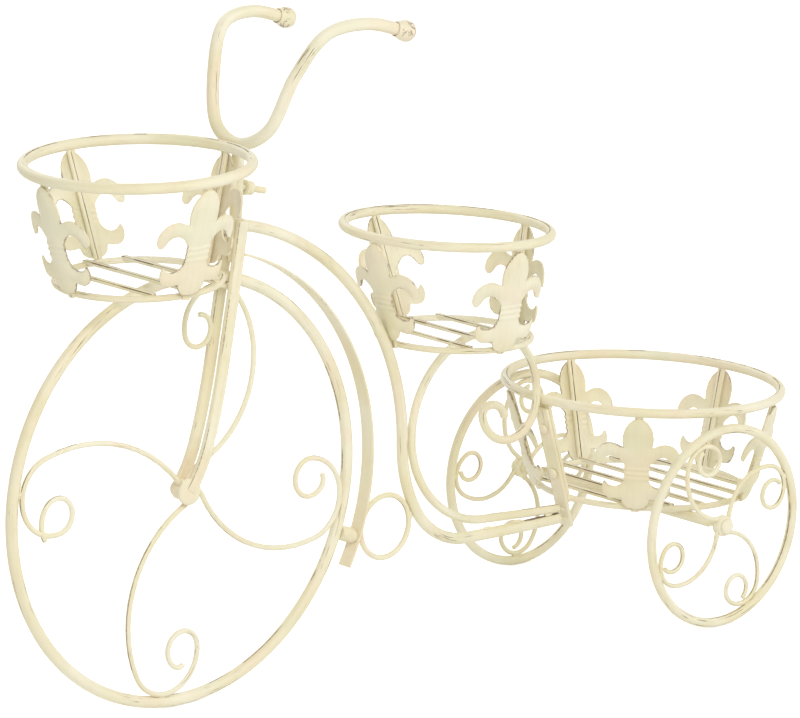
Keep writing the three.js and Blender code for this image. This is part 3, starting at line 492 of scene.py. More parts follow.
def ring_bar(bm, radius, tube, segments, sides, matrix, worn=180):
    """A closed ring of round bar about the matrix's Z axis, rubbed on its inner side or as worn says."""
    verts = round_section(bm, tube, sides, worn)
    upright = Matrix.Translation((radius, 0, 0)) @ Matrix.Rotation(math.pi / 2, 4, "X")
    bmesh.ops.transform(bm, matrix=upright, verts=verts)
    flow = layers_of(bm)[0]
    edges, ring, every = edges_among(verts), verts, list(verts)
    for i in range(segments + 1):
        angle = 2 * math.pi * i / segments
        shown = min(angle, 2 * math.pi - angle)
        for v in ring:
            v[flow] = Vector((shown * radius, v.co.z, math.hypot(v.co.x, v.co.y) - radius))
        if i == segments:
            break
        edges, ring = carried_round(bm, edges, (0, 0, 0), Z_AXIS, 2 * math.pi / segments)
        every += ring
    bmesh.ops.remove_doubles(bm, verts=every, dist=1e-3)
    bmesh.ops.transform(bm, matrix=matrix, verts=[v for v in every if v.is_valid])


def turned(bm, profile, matrix, steps=40):
    """A form turned on a lathe: (radius, along) corners spun about the matrix's Z axis.

    A tag marks the corners that are already in place, here and where more is turned onto a piece.
    """
    verts = [bm.verts.new((radius, 0, along)) for radius, along in profile]
    edges = [bm.edges.new(pair) for pair in zip(verts, verts[1:])]
    bmesh.ops.spin(bm, geom=verts + edges, cent=(0, 0, 0), axis=Z_AXIS, steps=steps,
                   angle=2 * math.pi, use_merge=True, use_duplicate=False)
    bmesh.ops.remove_doubles(bm, verts=[v for v in bm.verts if not v.tag], dist=1e-3)
    joined = [v for v in bm.verts if not v.tag]
    bmesh.ops.transform(bm, matrix=matrix, verts=joined)
    for v in joined:
        v.tag = True


def turned_piece(name, profile, matrix, steps=40, material=STEEL):
    bm = new_piece()
    turned(bm, profile, matrix, steps)
    show(bm, name, material)


def aimed(at, direction):
    """A matrix whose Z axis runs from a point in a direction."""
    return Matrix.Translation(at) @ direction.to_track_quat("Z", "Y").to_matrix().to_4x4()


def weld(bm, at, size, direction=Z_AXIS, stretch=1.5):
    """A bead of weld under the paint: a lump drawn out along the joint."""
    made = bmesh.ops.create_icosphere(bm, subdivisions=2, radius=size)["verts"]
    flow = layers_of(bm)[0]
    for v in made:
        wave = 1 + 0.12 * math.sin(5 * v.co.x / size + at[0]) * math.sin(4 * v.co.z / size + at[2])
        v.co *= wave
        v.co.z *= stretch
        v[flow] = v.co + Vector(at)
    bmesh.ops.transform(bm, matrix=aimed(Vector(at), direction), verts=made)


def bolt_head(bm, radius, height, matrix):
    """A hexagonal head with softened, worn edges."""
    verts = bmesh.ops.create_cone(bm, cap_ends=True, segments=6, radius1=radius, radius2=radius,
                                  depth=height)["verts"]
    edge = layers_of(bm)[1]
    for v in verts:
        v[edge] = 0.8
    bmesh.ops.transform(bm, matrix=matrix @ Matrix.Translation((0, 0, height / 2)), verts=verts)
    soften(bm, edges_among(verts), 0.5)


# ---- wheels

def wheel_matrix(x, y, z, turn=0.0):
    return Matrix.Translation((x, y, z)) @ Matrix.Rotation(math.radians(turn), 4, "Y")


SIDEWAYS = Matrix.Rotation(math.pi / 2, 4, "X")  # turns the Z axis to -Y


def scrolled_spoke(name, shape, wire, y, rim, rim_tube, matrix, step):
    """One hand-bent spoke, sized to touch the rim, with its beads of weld."""
    (out, side), heading, bends = shape
    touching = rim_tube + wire + GAP
    reach = rim - math.sqrt(touching ** 2 - y ** 2)
    far = max(math.hypot(*point) for point in path_points((out, side), heading, bends))
    scale = reach / far
    angle = math.radians(heading)
    start = (out * scale - SPOKE_LEAD * math.cos(angle), side * scale - SPOKE_LEAD * math.sin(angle))
    bm = new_piece()
    bent_bar(bm, start, heading, [(SPOKE_LEAD / scale, 0)] + bends, round_section(bm, wire, 14, 0), y=y,
             step=step, scale=scale, round_by=wire * 0.3)
    touch = max(path_points((out, side), heading, bends), key=lambda point: math.hypot(*point))
    outward = Vector((touch[0], 0, touch[1])).normalized()
    along_rim = outward.cross(Y_AXIS)
    at = outward * (reach + wire * 0.9)
    weld(bm, (at.x, y * 0.75, at.z), wire * 0.8, along_rim, 2.4)
    weld(bm, (out * scale, y, side * scale), wire * 1.15, Vector((math.cos(angle), 0, math.sin(angle))), 1.3)
    bmesh.ops.transform(bm, matrix=matrix, verts=bm.verts)
    show(bm, name)


def front_wheel():
    bm = new_piece()
    ring_bar(bm, FRONT_RIM, FRONT_TUBE, 144, 20, wheel_matrix(0, 0, FRONT_Z) @ SIDEWAYS)
    show(bm, "front_wheel_rim")
    radius, half = FRONT_HUB, FRONT_HUB_HALF
    profile = [(0, -half), (radius - 0.6, -half), (radius, -half + 0.6),
               (radius, half - 0.6), (radius - 0.6, half), (0, half)]
    turned_piece("front_wheel_hub", profile, wheel_matrix(0, 0, FRONT_Z) @ SIDEWAYS, 48)
    for i, shape in enumerate(FRONT_SPOKES):
        scrolled_spoke(f"front_wheel_spoke_{i + 1}", shape, FRONT_SPOKE_WIRE, FRONT_SPOKE_Y, FRONT_RIM,
                       FRONT_TUBE, wheel_matrix(0, 0, FRONT_Z, 90 * i), 6)


def rear_wheel(side, sign, turn):
    y = sign * REAR_TRACK / 2
    bm = new_piece()
    ring_bar(bm, REAR_RIM, REAR_TUBE, 96, 18, wheel_matrix(REAR_AXLE_X, y, REAR_Z) @ SIDEWAYS)
    show(bm, f"{side}_wheel_rim")
    half, bore = REAR_HUB_WIDTH / 2, REAR_HUB_BORE
    profile = [(bore, -half), (REAR_HUB - 1.6, -half), (REAR_HUB - 0.5, -half + 0.5),
               (REAR_HUB, -half + 1.6), (REAR_HUB, half - 1.6), (REAR_HUB - 0.5, half - 0.5),
               (REAR_HUB - 1.6, half), (bore, half), (bore, -half)]
    turned_piece(f"{side}_wheel_hub", profile, wheel_matrix(REAR_AXLE_X, y, REAR_Z) @ SIDEWAYS, 48)
    for i in range(4):
        scrolled_spoke(f"{side}_wheel_spoke_{i + 1}", REAR_SPOKE, REAR_SPOKE_WIRE, 0.0, REAR_RIM, REAR_TUBE,
                       wheel_matrix(REAR_AXLE_X, y, REAR_Z, turn + 90 * i), 7)


def rear_axle():
    """The axle, with a collar inside each wheel and a stub through its hub, and the two caps."""
    hub_in = REAR_TRACK / 2 - REAR_HUB_WIDTH / 2
    face = REAR_TRACK / 2 + REAR_HUB_WIDTH / 2 + RUNNING_GAP
    end = face + 1.6
    collar = hub_in - RUNNING_GAP
    half = [(0, end), (AXLE_STUB, end), (AXLE_STUB, collar), (AXLE_RADIUS, collar),
            (AXLE_RADIUS, collar - 2), (AXLE_STUB, collar - 2), (AXLE_STUB, hub_in - 12),
            (AXLE_RADIUS - 0.4, hub_in - 12), (AXLE_RADIUS, hub_in - 12.4)]
    profile = half + [(radius, -along) for radius, along in reversed(half)]
    bm = new_piece()
    turned(bm, profile, Matrix.Translation((REAR_AXLE_X, 0, REAR_Z)) @ SIDEWAYS, 32)
    flow = layers_of(bm)[0]
    for v in bm.verts:
        v[flow] = Vector((v.co.y, v.co.x - REAR_AXLE_X, v.co.z - REAR_Z))
    show(bm, "rear_axle")
    for side, sign in (("right", -1), ("left", 1)):
        out = Vector((0, sign, 0))
        profile = [(3.3, 0), (6.1, 0), (6.5, 0.4), (6.4, 1.5), (5.6, 2.4), (3.8, 3.0), (0, 3.2),
                   (0, 2.2), (3.3, 2.2), (3.3, 0)]
        turned_piece(f"{side}_axle_cap", profile, aimed(Vector((REAR_AXLE_X, 0, REAR_Z)) + out * face, out),
                     32, FASTENER)


# ---- fork, stem and handlebar

def fork_blade(side, sign):
    """Flattened tube; the -Y one's foot is hammered out into a round paddle over the hub."""
    bm = new_piece()
    y = sign * BLADE_Y
    section = flat_section(bm, BLADE_WIDTH, BLADE_THICKNESS, 1.4, 16)
    bent_bar(bm, (0, FRONT_Z), BLADE_HEADING, BLADE_BENDS, section, y=y, step=1.5, round_by=0.6)
    half = BLADE_THICKNESS / 2 - 0.2
    inner, outer = -half, half - 0.6
    out = Vector((0, sign, 0))
    foot = PADDLE_RADIUS if sign < 0 else FAR_FOOT_RADIUS
    for v in bm.verts:
        v.tag = True
    turned(bm, [(0, inner), (foot - 0.5, inner), (foot, inner + 0.6), (foot - 0.1, outer - 1.2),
                (foot - 1.1, outer - 0.3), (foot - 3, outer), (0, outer + 0.2)],
           aimed(Vector((0, y, FRONT_Z)), out), 48)
    show(bm, f"fork_blade_{side}")


def catmull(points, samples):
    """Centripetal curve through points, ends carried on straight."""
    ends = [2 * points[0] - points[1]] + points + [2 * points[-1] - points[-2]]
    found = []
    for p0, p1, p2, p3 in zip(ends, ends[1:], ends[2:], ends[3:]):
        d0, d1, d2 = (math.sqrt((b - a).length) for a, b in ((p0, p1), (p1, p2), (p2, p3)))
        t1 = ((p1 - p0) / d0 - (p2 - p0) / (d0 + d1) + (p2 - p1) / d1) * d1
        t2 = ((p2 - p1) / d1 - (p3 - p1) / (d1 + d2) + (p3 - p2) / d2) * d1
        for i in range(samples):
            t = i / samples
            found.append(p1 * (2 * t ** 3 - 3 * t ** 2 + 1) + t1 * (t ** 3 - 2 * t ** 2 + t)
                         + p2 * (3 * t ** 2 - 2 * t ** 3) + t2 * (t ** 3 - t ** 2))
    return found + [points[-1]]


def bar_along(bm, points, radius, sides):
    """Round bar through free points: the section is extruded, moved and turned from one to the next."""
    tangents = [(b - a).normalized() for a, b in zip([points[0]] + points[:-1], points[1:] + [points[-1]])]
    verts = round_section(bm, radius, sides)
    flow = layers_of(bm)[0]
    for v in verts:
        v[flow] = Vector((0, v.co.x, v.co.y))
    facing = tangents[0].to_track_quat("Z", "Y").to_matrix().to_4x4()
    bmesh.ops.transform(bm, matrix=Matrix.Translation(points[0]) @ facing, verts=verts)
    first = edges = edges_among(verts)
    along = 0.0
    for here, there, old, new in zip(points, points[1:], tangents, tangents[1:]):
        verts = new_verts(bmesh.ops.extrude_edge_only(bm, edges=edges), "geom")
        turn = old.rotation_difference(new).to_matrix().to_4x4()
        move = Matrix.Translation(there) @ turn @ Matrix.Translation(-here)
        along += (there - here).length
        bmesh.ops.transform(bm, matrix=move, verts=verts)
        for v in verts:
            v[flow].x = along
        edges = edges_among(verts)
    cap(bm, first)
    cap(bm, edges)
    soften(bm, first + edges, radius * 0.2)
    return tangents


def handlebar():
    lean = Matrix.Translation(BAR_BASE) @ Matrix.Rotation(BAR_LEAN, 4, "X")

    def arm(sign):
        return [Vector((back, sign * aside, up)) for back, aside, up in BAR_ARM]

    points = catmull(arm(-1)[::-1] + [Vector((0, 0, 0))] + arm(1), 10)
    points = [lean @ point for point in points]
    bm = new_piece()
    tangents = bar_along(bm, points, BAR_TUBE, 20)
    weld(bm, BAR_BASE + Vector((-1.0, 0, -3.6)), 5.2, Y_AXIS, 1.15)
    show(bm, "handlebar")
    for side, end, outward in (("right", points[0], -tangents[0]), ("left", points[-1], tangents[-1])):
        centre = end + outward * 0.8
        profile = [(5.8, -9.6), (6.3, -9.2), (6.5, -7.6), (7.3, -5.4), (8.3, -2.6),
                   (GRIP_BALL, 0.3), (8.5, 3.0), (7.5, 5.4), (5.8, 7.2), (3.2, 8.5), (0, 8.9),
                   (0, 5.9), (5.8, 5.9), (5.8, -9.6)]
        turned_piece(f"{side}_grip_ball", profile, aimed(centre, outward), 40, GRIP)


def stem():
    top = Vector((stem_x(BAR_BASE.z - BAR_TUBE), 0, BAR_BASE.z - 1.5))
    up = (top - STEM_FOOT).normalized()
    length = (top - STEM_FOOT).length
    bm = new_piece()
    turned(bm, [(0, 0), (STEM_RADIUS - 0.5, 0), (STEM_RADIUS, 0.5), (STEM_RADIUS, length), (0, length)],
           aimed(STEM_FOOT, up), 28)
    flow = layers_of(bm)[0]
    for v in bm.verts:
        v[flow] = Vector((v.co.z, v.co.x - stem_x(v.co.z), v.co.y))
    for z in (STEM_FOOT.z + 3, STEM_FOOT.z + 26):
        for sign in (-1, 1):
            weld(bm, (stem_x(z), sign * 5.4, z), 1.5, Z_AXIS, 3.2)
    show(bm, "stem")


# ---- mudguard, loop and frame tubes

def mudguard():
    """The strap round the wheel's back, up to the stem, and the spacer between it and the rim."""
    inner = GUARD_RADIUS - GUARD_THICKNESS / 2
    outer = GUARD_RADIUS + GUARD_THICKNESS / 2
    top = FRONT_Z + math.sqrt(outer ** 2 - (STEM_FOOT.x - GUARD_SET_BACK) ** 2)
    behind = stem_x(top) + STEM_RADIUS / math.cos(STEM_LEAN) + GAP
    high = math.degrees(math.acos((behind - GUARD_SET_BACK) / inner))
    turn = high - GUARD_END
    low = math.radians(GUARD_END)
    start = (GUARD_SET_BACK + GUARD_RADIUS * math.cos(low), FRONT_Z + GUARD_RADIUS * math.sin(low))
    bm = new_piece()
    section = flat_section(bm, GUARD_THICKNESS, GUARD_WIDTH, 0.75, 16)
    bend = (GUARD_RADIUS * math.radians(turn), turn)
    bent_bar(bm, start, GUARD_END + 90, [bend], section, step=1.6, round_by=0.5)
    show(bm, "mudguard", SHEET)

    low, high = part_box("mudguard_spacer")
    spacer = (low + high) / 2 / MM - Vector((AXLE_X, 0, 0))
    along = Vector((math.cos(SPACER_HEADING), 0, math.sin(SPACER_HEADING)))
    half = SPACER_HALF
    profile = [(0, -half), (5.2, -half), (6.0, -half + 1.2), (6.4, -2),
               (6.4, 2), (6.0, half - 1.2), (5.2, half), (0, half)]
    turned_piece("mudguard_spacer", profile, aimed(spacer, along), 28, FASTENER)


def scroll_loop():
    middle = middle_of("scroll_loop") - Vector((AXLE_X, 0, 0))
    bm = new_piece()
    ring_bar(bm, LOOP_RADIUS, LOOP_WIRE, 72, 14, Matrix.Translation(middle) @ SIDEWAYS)
    for sign, rise in ((-1, 7), (1, 4)):
        weld(bm, (middle.x + sign * (LOOP_RADIUS + 1.5), 0, middle.z + rise), 1.9, Z_AXIS, 2.2)
    show(bm, "scroll_loop")


def ring_matrix(ring):
    x, z, _, tilt = ring
    return Matrix.Translation((x, 0, z)) @ Matrix.Rotation(math.radians(tilt), 4, "Y")


def ring_point(ring, degrees, radius):
    angle = math.radians(degrees)
    return ring_matrix(ring) @ Vector((radius * math.cos(angle), radius * math.sin(angle), 0))


class Flank:
    """The basket's side along one line: a foot, and directions up, aside and outward."""

    def __init__(self, basket, top, foot):
        radius = basket.base[2] + BASE_WIRE + UPRIGHT_THICKNESS / 2 - WELD_DEPTH
        self.foot = ring_point(basket.base, foot, radius)
        rise = ring_point(basket.rim, top, basket.rim[2]) - self.foot
        self.length = rise.length
        self.up = rise.normalized()
        facing = math.radians((top + foot) / 2)
        aside = Vector((-math.sin(facing), math.cos(facing), 0))
        self.aside = (aside - self.up * aside.dot(self.up)).normalized()
        self.outward = self.aside.cross(self.up)

    def at(self, height, outset=0.0):
        return self.foot + self.up * height + self.outward * outset

    def matrix(self, height, outset=0.0):
        turned_axes = Matrix((self.aside, self.outward * -1, self.up)).transposed().to_4x4()
        return Matrix.Translation(self.at(height, outset)) @ turned_axes


def frame_paths():
    """Where the main tube and the arch tube start, and the arch's greatest height."""
    start = (stem_x(FRAME_START_Z), FRAME_START_Z)
    end = path_points(start, FRAME_HEADING, FRAME_BENDS)[-1]
    arch_start = (end[0], end[1] + FRAME_TUBE + ARCH_TUBE + GAP)
    crest = max(z for _, z in path_points(arch_start, ARCH_HEADING, ARCH_BENDS))
    return start, arch_start, crest


def cut_behind(bm, point, normal):
    """Cuts the bar's low end off square behind a face and closes it."""
    low = [part for kind in (bm.verts, bm.edges, bm.faces) for part in kind
           if all(v.co.z < LOW_ENDS for v in getattr(part, "verts", [part]))]
    cut = bmesh.ops.bisect_plane(bm, geom=low, plane_co=point, plane_no=normal, clear_outer=True, dist=1e-4)
    cap(bm, new_edges(cut, "geom_cut"))


def paint_crevice_shade(bm):
    """Darkens the main tube's top with painted shade where the arch tube lies on it."""
    edge = layers_of(bm)[1]
    for v in bm.verts:
        if v.co.x > CREVICE_X and v.co.z > CREVICE_Z:
            v[edge] = 1.35


def frame_tubes():
    start, arch_start, _ = frame_paths()
    flank = Flank(REAR_BASKET, *STRAP_LINE)
    face = flank.at(0, UPRIGHT_THICKNESS / 2 + GAP + STRAP_THICKNESS + GAP)
    bm = new_piece()
    bent_bar(bm, start, FRAME_HEADING, FRAME_BENDS, round_section(bm, FRAME_TUBE, 20, 180), step=2.5)
    # shade painted along the main tube's top under the arch tube
    paint_crevice_shade(bm)
    cut_behind(bm, face, -flank.outward)
    for sign in (-1, 1):
        weld(bm, (start[0] + STEM_RADIUS, sign * 3.2, start[1] + 1.5), 1.7, Z_AXIS, 2.0)
    show(bm, "main_tube")
    bm = new_piece()
    bent_bar(bm, arch_start, ARCH_HEADING, ARCH_BENDS, round_section(bm, ARCH_TUBE, 18, 0), step=4,
             round_by=0.9)
    cut_behind(bm, face, -flank.outward)
    for share in (0.12, 0.5, 0.9):
        x = arch_start[0] - 2 - 90 * share
        weld(bm, (x, -1.2, arch_start[1] - ARCH_TUBE + 0.3 + 1.2 * share), 1.5, Vector((1, 0, -0.06)), 3.0)
    show(bm, "arch_tube")


# ---- baskets

def groove_section(bm, width, thickness):
    """An upright's outline: flat strip with soft corners and a groove down its inner face."""
    half, deep, soft = width / 2, thickness / 2, 0.5
    left = [(-half + soft, deep), (-half, deep - soft), (-half, -deep + soft), (-half + soft, -deep)]
    right = [(half - soft, -deep), (half, -deep + soft), (half, deep - soft), (half - soft, deep)]
    groove = [(1.2, deep), (0.6, deep - 0.75), (0.0, deep)]
    edge = layers_of(bm)[1]
    verts = [bm.verts.new((x, y, 0)) for x, y in left + right + groove]
    verts[-2][edge] = 2.2  # painted shade: a dark line down the groove's floor
    for pair in zip(verts, verts[1:] + verts[:1]):
        bm.edges.new(pair)
    return verts


def straight_bar(bm, section, matrix, length, round_by=0.4):
    """Extrudes a section along the matrix's Z axis."""
    flow = layers_of(bm)[0]
    for v in section:
        v[flow] = Vector((0, v.co.x, v.co.y))
    first = edges_among(section)
    far = new_verts(bmesh.ops.extrude_edge_only(bm, edges=first), "geom")
    bmesh.ops.translate(bm, vec=(0, 0, length), verts=far)
    for v in far:
        v[flow].x = length
    bmesh.ops.transform(bm, matrix=matrix, verts=section + far)
    end = edges_among(far)
    cap(bm, first)
    cap(bm, end)
    if round_by:
        soften(bm, first + end, round_by, 2)


def basket_cage(basket):
    """Base ring, slats across it and uprights, welded together."""
    bm = new_piece()
    base = ring_matrix(basket.base)
    radius = basket.base[2]
    ring_bar(bm, radius, BASE_WIRE, 84, 16, base, 90)
    lift = BASE_WIRE + SLAT_THICKNESS / 2 - WELD_DEPTH
    for i in range(basket.slats):
        x = (i - (basket.slats - 1) / 2) * basket.slat_spacing
        half = math.sqrt((radius + BASE_WIRE / 2) ** 2 - (abs(x) + SLAT_WIDTH / 2) ** 2)
        start = base @ Matrix.Translation((x, -half, lift)) @ Matrix.Rotation(-math.pi / 2, 4, "X")
        # each slat takes a dark line of painted shade along its upper corners
        slat = flat_section(bm, SLAT_WIDTH, SLAT_THICKNESS, 0.5, 12, SLAT_SHADE_LINES, 0.9)
        straight_bar(bm, slat, start, 2 * half, 0.3)
        for end in (-1, 1):
            at = base @ Vector((x, end * (half - 1.6), lift - 0.4))
            weld(bm, at, 1.6, Vector((1, 0, 0)), 1.6)
    for top, foot in basket.plates:
        flank = Flank(basket, top, foot)
        length = flank.length - basket.rim_tube + 0.6
        section = groove_section(bm, UPRIGHT_WIDTH, UPRIGHT_THICKNESS)
        straight_bar(bm, section, flank.matrix(-BASE_WIRE), length + BASE_WIRE, 0)
        weld(bm, flank.at(flank.length - basket.rim_tube - 0.2, 0.6), 1.9, flank.aside, 1.7)
        weld(bm, flank.at(0.4, -1.4), 1.7, flank.aside, 1.8)
    if basket is REAR_BASKET:
        flank = Flank(basket, *STRAP_LINE)
        length = flank.length - basket.rim_tube + 0.6
        section = flat_section(bm, STRAP_WIDTH, UPRIGHT_THICKNESS, 0.6, 12, (0, 0, 0, 0))
        straight_bar(bm, section, flank.matrix(-BASE_WIRE), length + BASE_WIRE, 0)
    show(bm, f"{basket.name}_cage")


# half the plate's outline, from its foot on the middle line to its tip
LOBE = [(0, 0), (4, 0.6), (8.2, 2.6), (10.6, 6.4), (11.5, 10.6)]
CURL = [(14, 10.1), (19, 9.6), (23, 11), (26, 14.6), (27.5, 20), (27.2, 24.6), (25.8, 26.8), (24.3, 24.4),
        (21.5, 22), (17.5, 21.2), (13.5, 22.8), (11, 25.8), (9.8, 29)]
BAND = [(10.6, 31), (9.5, 33.2), (10.6, 35.5), (9.5, 38), (10.6, 40.5), (9.6, 43)]
ARM = [(12, 46.5), (15, 49.8), (19, 52), (23, 51.8), (26, 49.5), (28, 45.6), (29.8, 43.4), (32.2, 43),
       (34.5, 45), (35.4, 49), (35, 54), (32.5, 59), (28.5, 62.5), (23.5, 64), (18, 63.2), (13.8, 61),
       (11.6, 60.2)]
PETAL = [(12.6, 65), (12.8, 70), (12, 76), (9.9, 81), (6.6, 85.4), (3, 88.2), (0, PLATE_HEIGHT)]
HALF_PLATE = LOBE + CURL + BAND + ARM + PETAL


def smoothed(points):
    """Cuts the corners of a half outline, and keeps its two ends on the middle line."""
    cut = [points[0]]
    for (ax, ay), (bx, by) in zip(points, points[1:]):
        cut += [(ax * near + bx * (1 - near), ay * near + by * (1 - near)) for near in (0.75, 0.25)]
    return cut + [points[-1]]


def distance_to_outline(x, y, outline):
    best = math.inf
    for (ax, ay), (bx, by) in zip(outline, outline[1:] + outline[:1]):
        dx, dy = bx - ax, by - ay
        share = max(0.0, min(1.0, ((x - ax) * dx + (y - ay) * dy) / (dx * dx + dy * dy)))
        best = min(best, math.hypot(x - ax - dx * share, y - ay - dy * share))
    return best


def pressed_height(x, y, inside):
    """How far the sheet is pressed out: domed petals and arms, ridges on the band, turned-out tips."""
    dome = 1.9 * math.sin(min(1.0, inside / 9) * math.pi / 2)
    if 29.5 < y < 43.8:
        dome = 0.5 * dome + 0.55 * (1 + math.cos(2 * math.pi * (y - 31) / 4.75)) / 2 + 0.45
    if y < 28 and abs(x) > 11:
        dome += 1.2 * min(1.0, (abs(x) - 11) / 12) ** 2
    if abs(x) > 20 and y > 40:
        dome += 0.8 * min(1.0, (abs(x) - 20) / 14) ** 2
    return dome


def flat_plate():
    """The fleur-de-lis plate before it is wrapped round a basket: x aside, y up, z pressed out."""
    half = smoothed(HALF_PLATE)
    outline = half + [(-x, y) for x, y in half[-2:0:-1]]
    bm = new_piece()
    verts = [bm.verts.new((x, y, 0)) for x, y in outline]
    bm.faces.new(verts)
    rows = [3 * i for i in range(1, 30)] + [29.8 + 0.8 * i for i in range(18)]
    columns = [3.2 * i for i in range(-11, 12)]
    for value, normal in [(y, (0, 1, 0)) for y in rows] + [(x, (1, 0, 0)) for x in columns]:
        point = (value * normal[0], value * normal[1], 0)
        bmesh.ops.bisect_plane(bm, geom=bm.verts[:] + bm.edges[:] + bm.faces[:], plane_co=point,
                               plane_no=normal, dist=1e-4)
    bmesh.ops.remove_doubles(bm, verts=bm.verts, dist=0.05)
    bmesh.ops.triangulate(bm, faces=[f for f in bm.faces if len(f.verts) > 4])
    flow, edge = layers_of(bm)
    for v in bm.verts:
        inside = distance_to_outline(v.co.x, v.co.y, outline)
        v[flow] = Vector((v.co.y, v.co.x, 0))
        v[edge] = max(0.0, 1.1 - inside)
        v.co.z = pressed_height(v.co.x, v.co.y, inside)
    front = bmesh.ops.extrude_face_region(bm, geom=bm.faces[:])
    bmesh.ops.translate(bm, vec=(0, 0, PLATE_THICKNESS), verts=new_verts(front, "geom"))
    bmesh.ops.recalc_face_normals(bm, faces=bm.faces)
    return bm


PLATE = flat_plate()


def fleur_plate(basket, index, top, foot):
    """Wraps the pressed plate round the basket's flank, just outside its upright."""
    bm = PLATE.copy()
    flank = Flank(basket, top, foot)
    base = flank.length - basket.rim_tube - GAP - PLATE_HEIGHT
    outset = UPRIGHT_THICKNESS / 2 + GAP
    for v in bm.verts:
        height = base + v.co.y
        share = height / flank.length
        radius = basket.base[2] + (basket.rim[2] - basket.base[2]) * share
        turn = math.degrees(v.co.x / radius)
        v.co = Flank(basket, top + turn, foot + turn).at(height, outset + v.co.z)
    show(bm, f"{basket.name}_fleur_{index}", SHEET, 50)


def basket_pieces(basket):
    bm = new_piece()
    segments = 132 if basket is REAR_BASKET else 108
    ring_bar(bm, basket.rim[2], basket.rim_tube, segments, 20, ring_matrix(basket.rim), 100)
    show(bm, f"{basket.name}_rim")
    basket_cage(basket)
    for i, (top, foot) in enumerate(basket.plates):
        fleur_plate(basket, i + 1, top, foot)


def rear_strap():
    flank = Flank(REAR_BASKET, *STRAP_LINE)
    _, arch_start, _ = frame_paths()
    hang = 2  # the strap's reach below the main tube
    bottom = arch_start[1] - ARCH_TUBE - GAP - 2 * FRAME_TUBE - hang
    low = (bottom - flank.foot.z) / flank.up.z
    high = flank.length - REAR_BASKET.rim_tube - 3
    outset = UPRIGHT_THICKNESS / 2 + GAP + STRAP_THICKNESS / 2
    bm = new_piece()
    section = flat_section(bm, STRAP_WIDTH, STRAP_THICKNESS, 0.7, 16, (0.3, 0.3, 1.7, 0.6))
    straight_bar(bm, section, flank.matrix(low, outset), high - low, 0.5)
    for z in (bottom + hang + FRAME_TUBE, arch_start[1]):
        at = flank.at((z - flank.foot.z) / flank.up.z, outset + STRAP_THICKNESS / 2)
        weld(bm, at, 1.7, Y_AXIS, 1.8)
    show(bm, "rear_basket_strap")
    for i, share in enumerate(STRAP_BOLTS):
        bm = new_piece()
        height = share * flank.length
        outer = flank.matrix(height, outset + STRAP_THICKNESS / 2 + GAP) @ SIDEWAYS
        turned(bm, [(0, 0), (4.3, 0), (4.6, 0.4), (4.4, 1.2), (3.4, 2.1), (1.6, 2.6), (0, 2.7)], outer, 28)
        inner = flank.matrix(height, -UPRIGHT_THICKNESS / 2 - GAP) @ SIDEWAYS.inverted()
        bolt_head(bm, 4.6, 2.6, inner)
        show(bm, f"strap_bolt_{i + 1}", FASTENER)


# ---- head bolt

def threaded_shank(bm, radius, start, length, matrix):
    """A round shank with a thread, turned as a row of grooves 1 mm apart."""
    profile = [(0, start), (radius * 0.8, start)]
    turns = int(length)
    for i in range(turns):
        profile += [(radius, start + i + 0.5), (radius * 0.82, start + i + 1)]
    profile += [(radius * 0.5, start + turns + 0.5), (0, start + turns + 0.5)]
    turned(bm, profile, matrix, 24)


def head_bolt():
    """The bolt that carries the front basket on the stem, square to the basket's flank."""
    _, rim_z, rim_radius, _ = FRONT_BASKET.rim
    _, base_z, base_radius, _ = FRONT_BASKET.base
    drop = math.atan2(rim_radius - base_radius, rim_z - base_z)
    axis = Vector((math.cos(drop), 0, -math.sin(drop)))
    centre = Vector((stem_x(HEAD_BOLT_Z), 0, HEAD_BOLT_Z))
    flank = Flank(FRONT_BASKET, 0, 0)
    outward = Vector((flank.up.z, 0, -flank.up.x))
    reach = ((centre - flank.foot).dot(outward) + UPRIGHT_THICKNESS / 2) / axis.dot(outward) + GAP
    behind = STEM_RADIUS / math.cos(drop) + 6.4 * math.sin(drop) + GAP
    nut_from = behind + WASHER_THICKNESS + GAP
    thread_from = nut_from - 1

    def on_bolt(along):
        return aimed(centre + axis * along, axis)

    bm = new_piece()
    bolt_head(bm, 5, 3, on_bolt(-reach - 3))
    for v in bm.verts:
        v.tag = True
    shank = [(0, -reach - 1), (SHANK_RADIUS, -reach - 1), (SHANK_RADIUS, nut_from), (0, nut_from)]
    turned(bm, shank, aimed(centre, axis), 24)
    threaded_shank(bm, SHANK_RADIUS, thread_from, nut_from + NUT_LENGTH + BOLT_PAST_NUT - thread_from,
                   aimed(centre, axis))
    show(bm, "head_bolt", FASTENER)

    def on_shank(name, profile, along):
        low, high = (SHANK_BORE, profile[0][1]), (SHANK_BORE, profile[-1][1])
        turned_piece(name, [low] + profile + [high, low], on_bolt(along), 32, FASTENER)

    thick = WASHER_THICKNESS
    on_shank("head_washer", [(5.9, 0), (6.4, 0.6), (6.4, thick - 0.6), (5.9, thick)], behind)
    on_shank("head_nut", [(4.6, 0), (5.5, 0.9), (5.8, 3), (5.5, 5.1), (4.6, NUT_LENGTH)], nut_from)
    sleeve_from = -reach + UPRIGHT_THICKNESS + PLATE_THICKNESS + 4 * GAP + 1.9
    length = -STEM_RADIUS + 0.4 - sleeve_from
    on_shank("head_sleeve", [(5.3, 0), (5.8, 0.5), (5.8, length - 0.5), (5.3, length)], sleeve_from)


# ---- assembly

def seat(basket, height_at):
    """Sets the height of a basket's base ring, which depends on what carries it."""
    x, _, radius, tilt = basket.base
    basket.base = (x, height_at(x, math.radians(tilt)), radius, tilt)


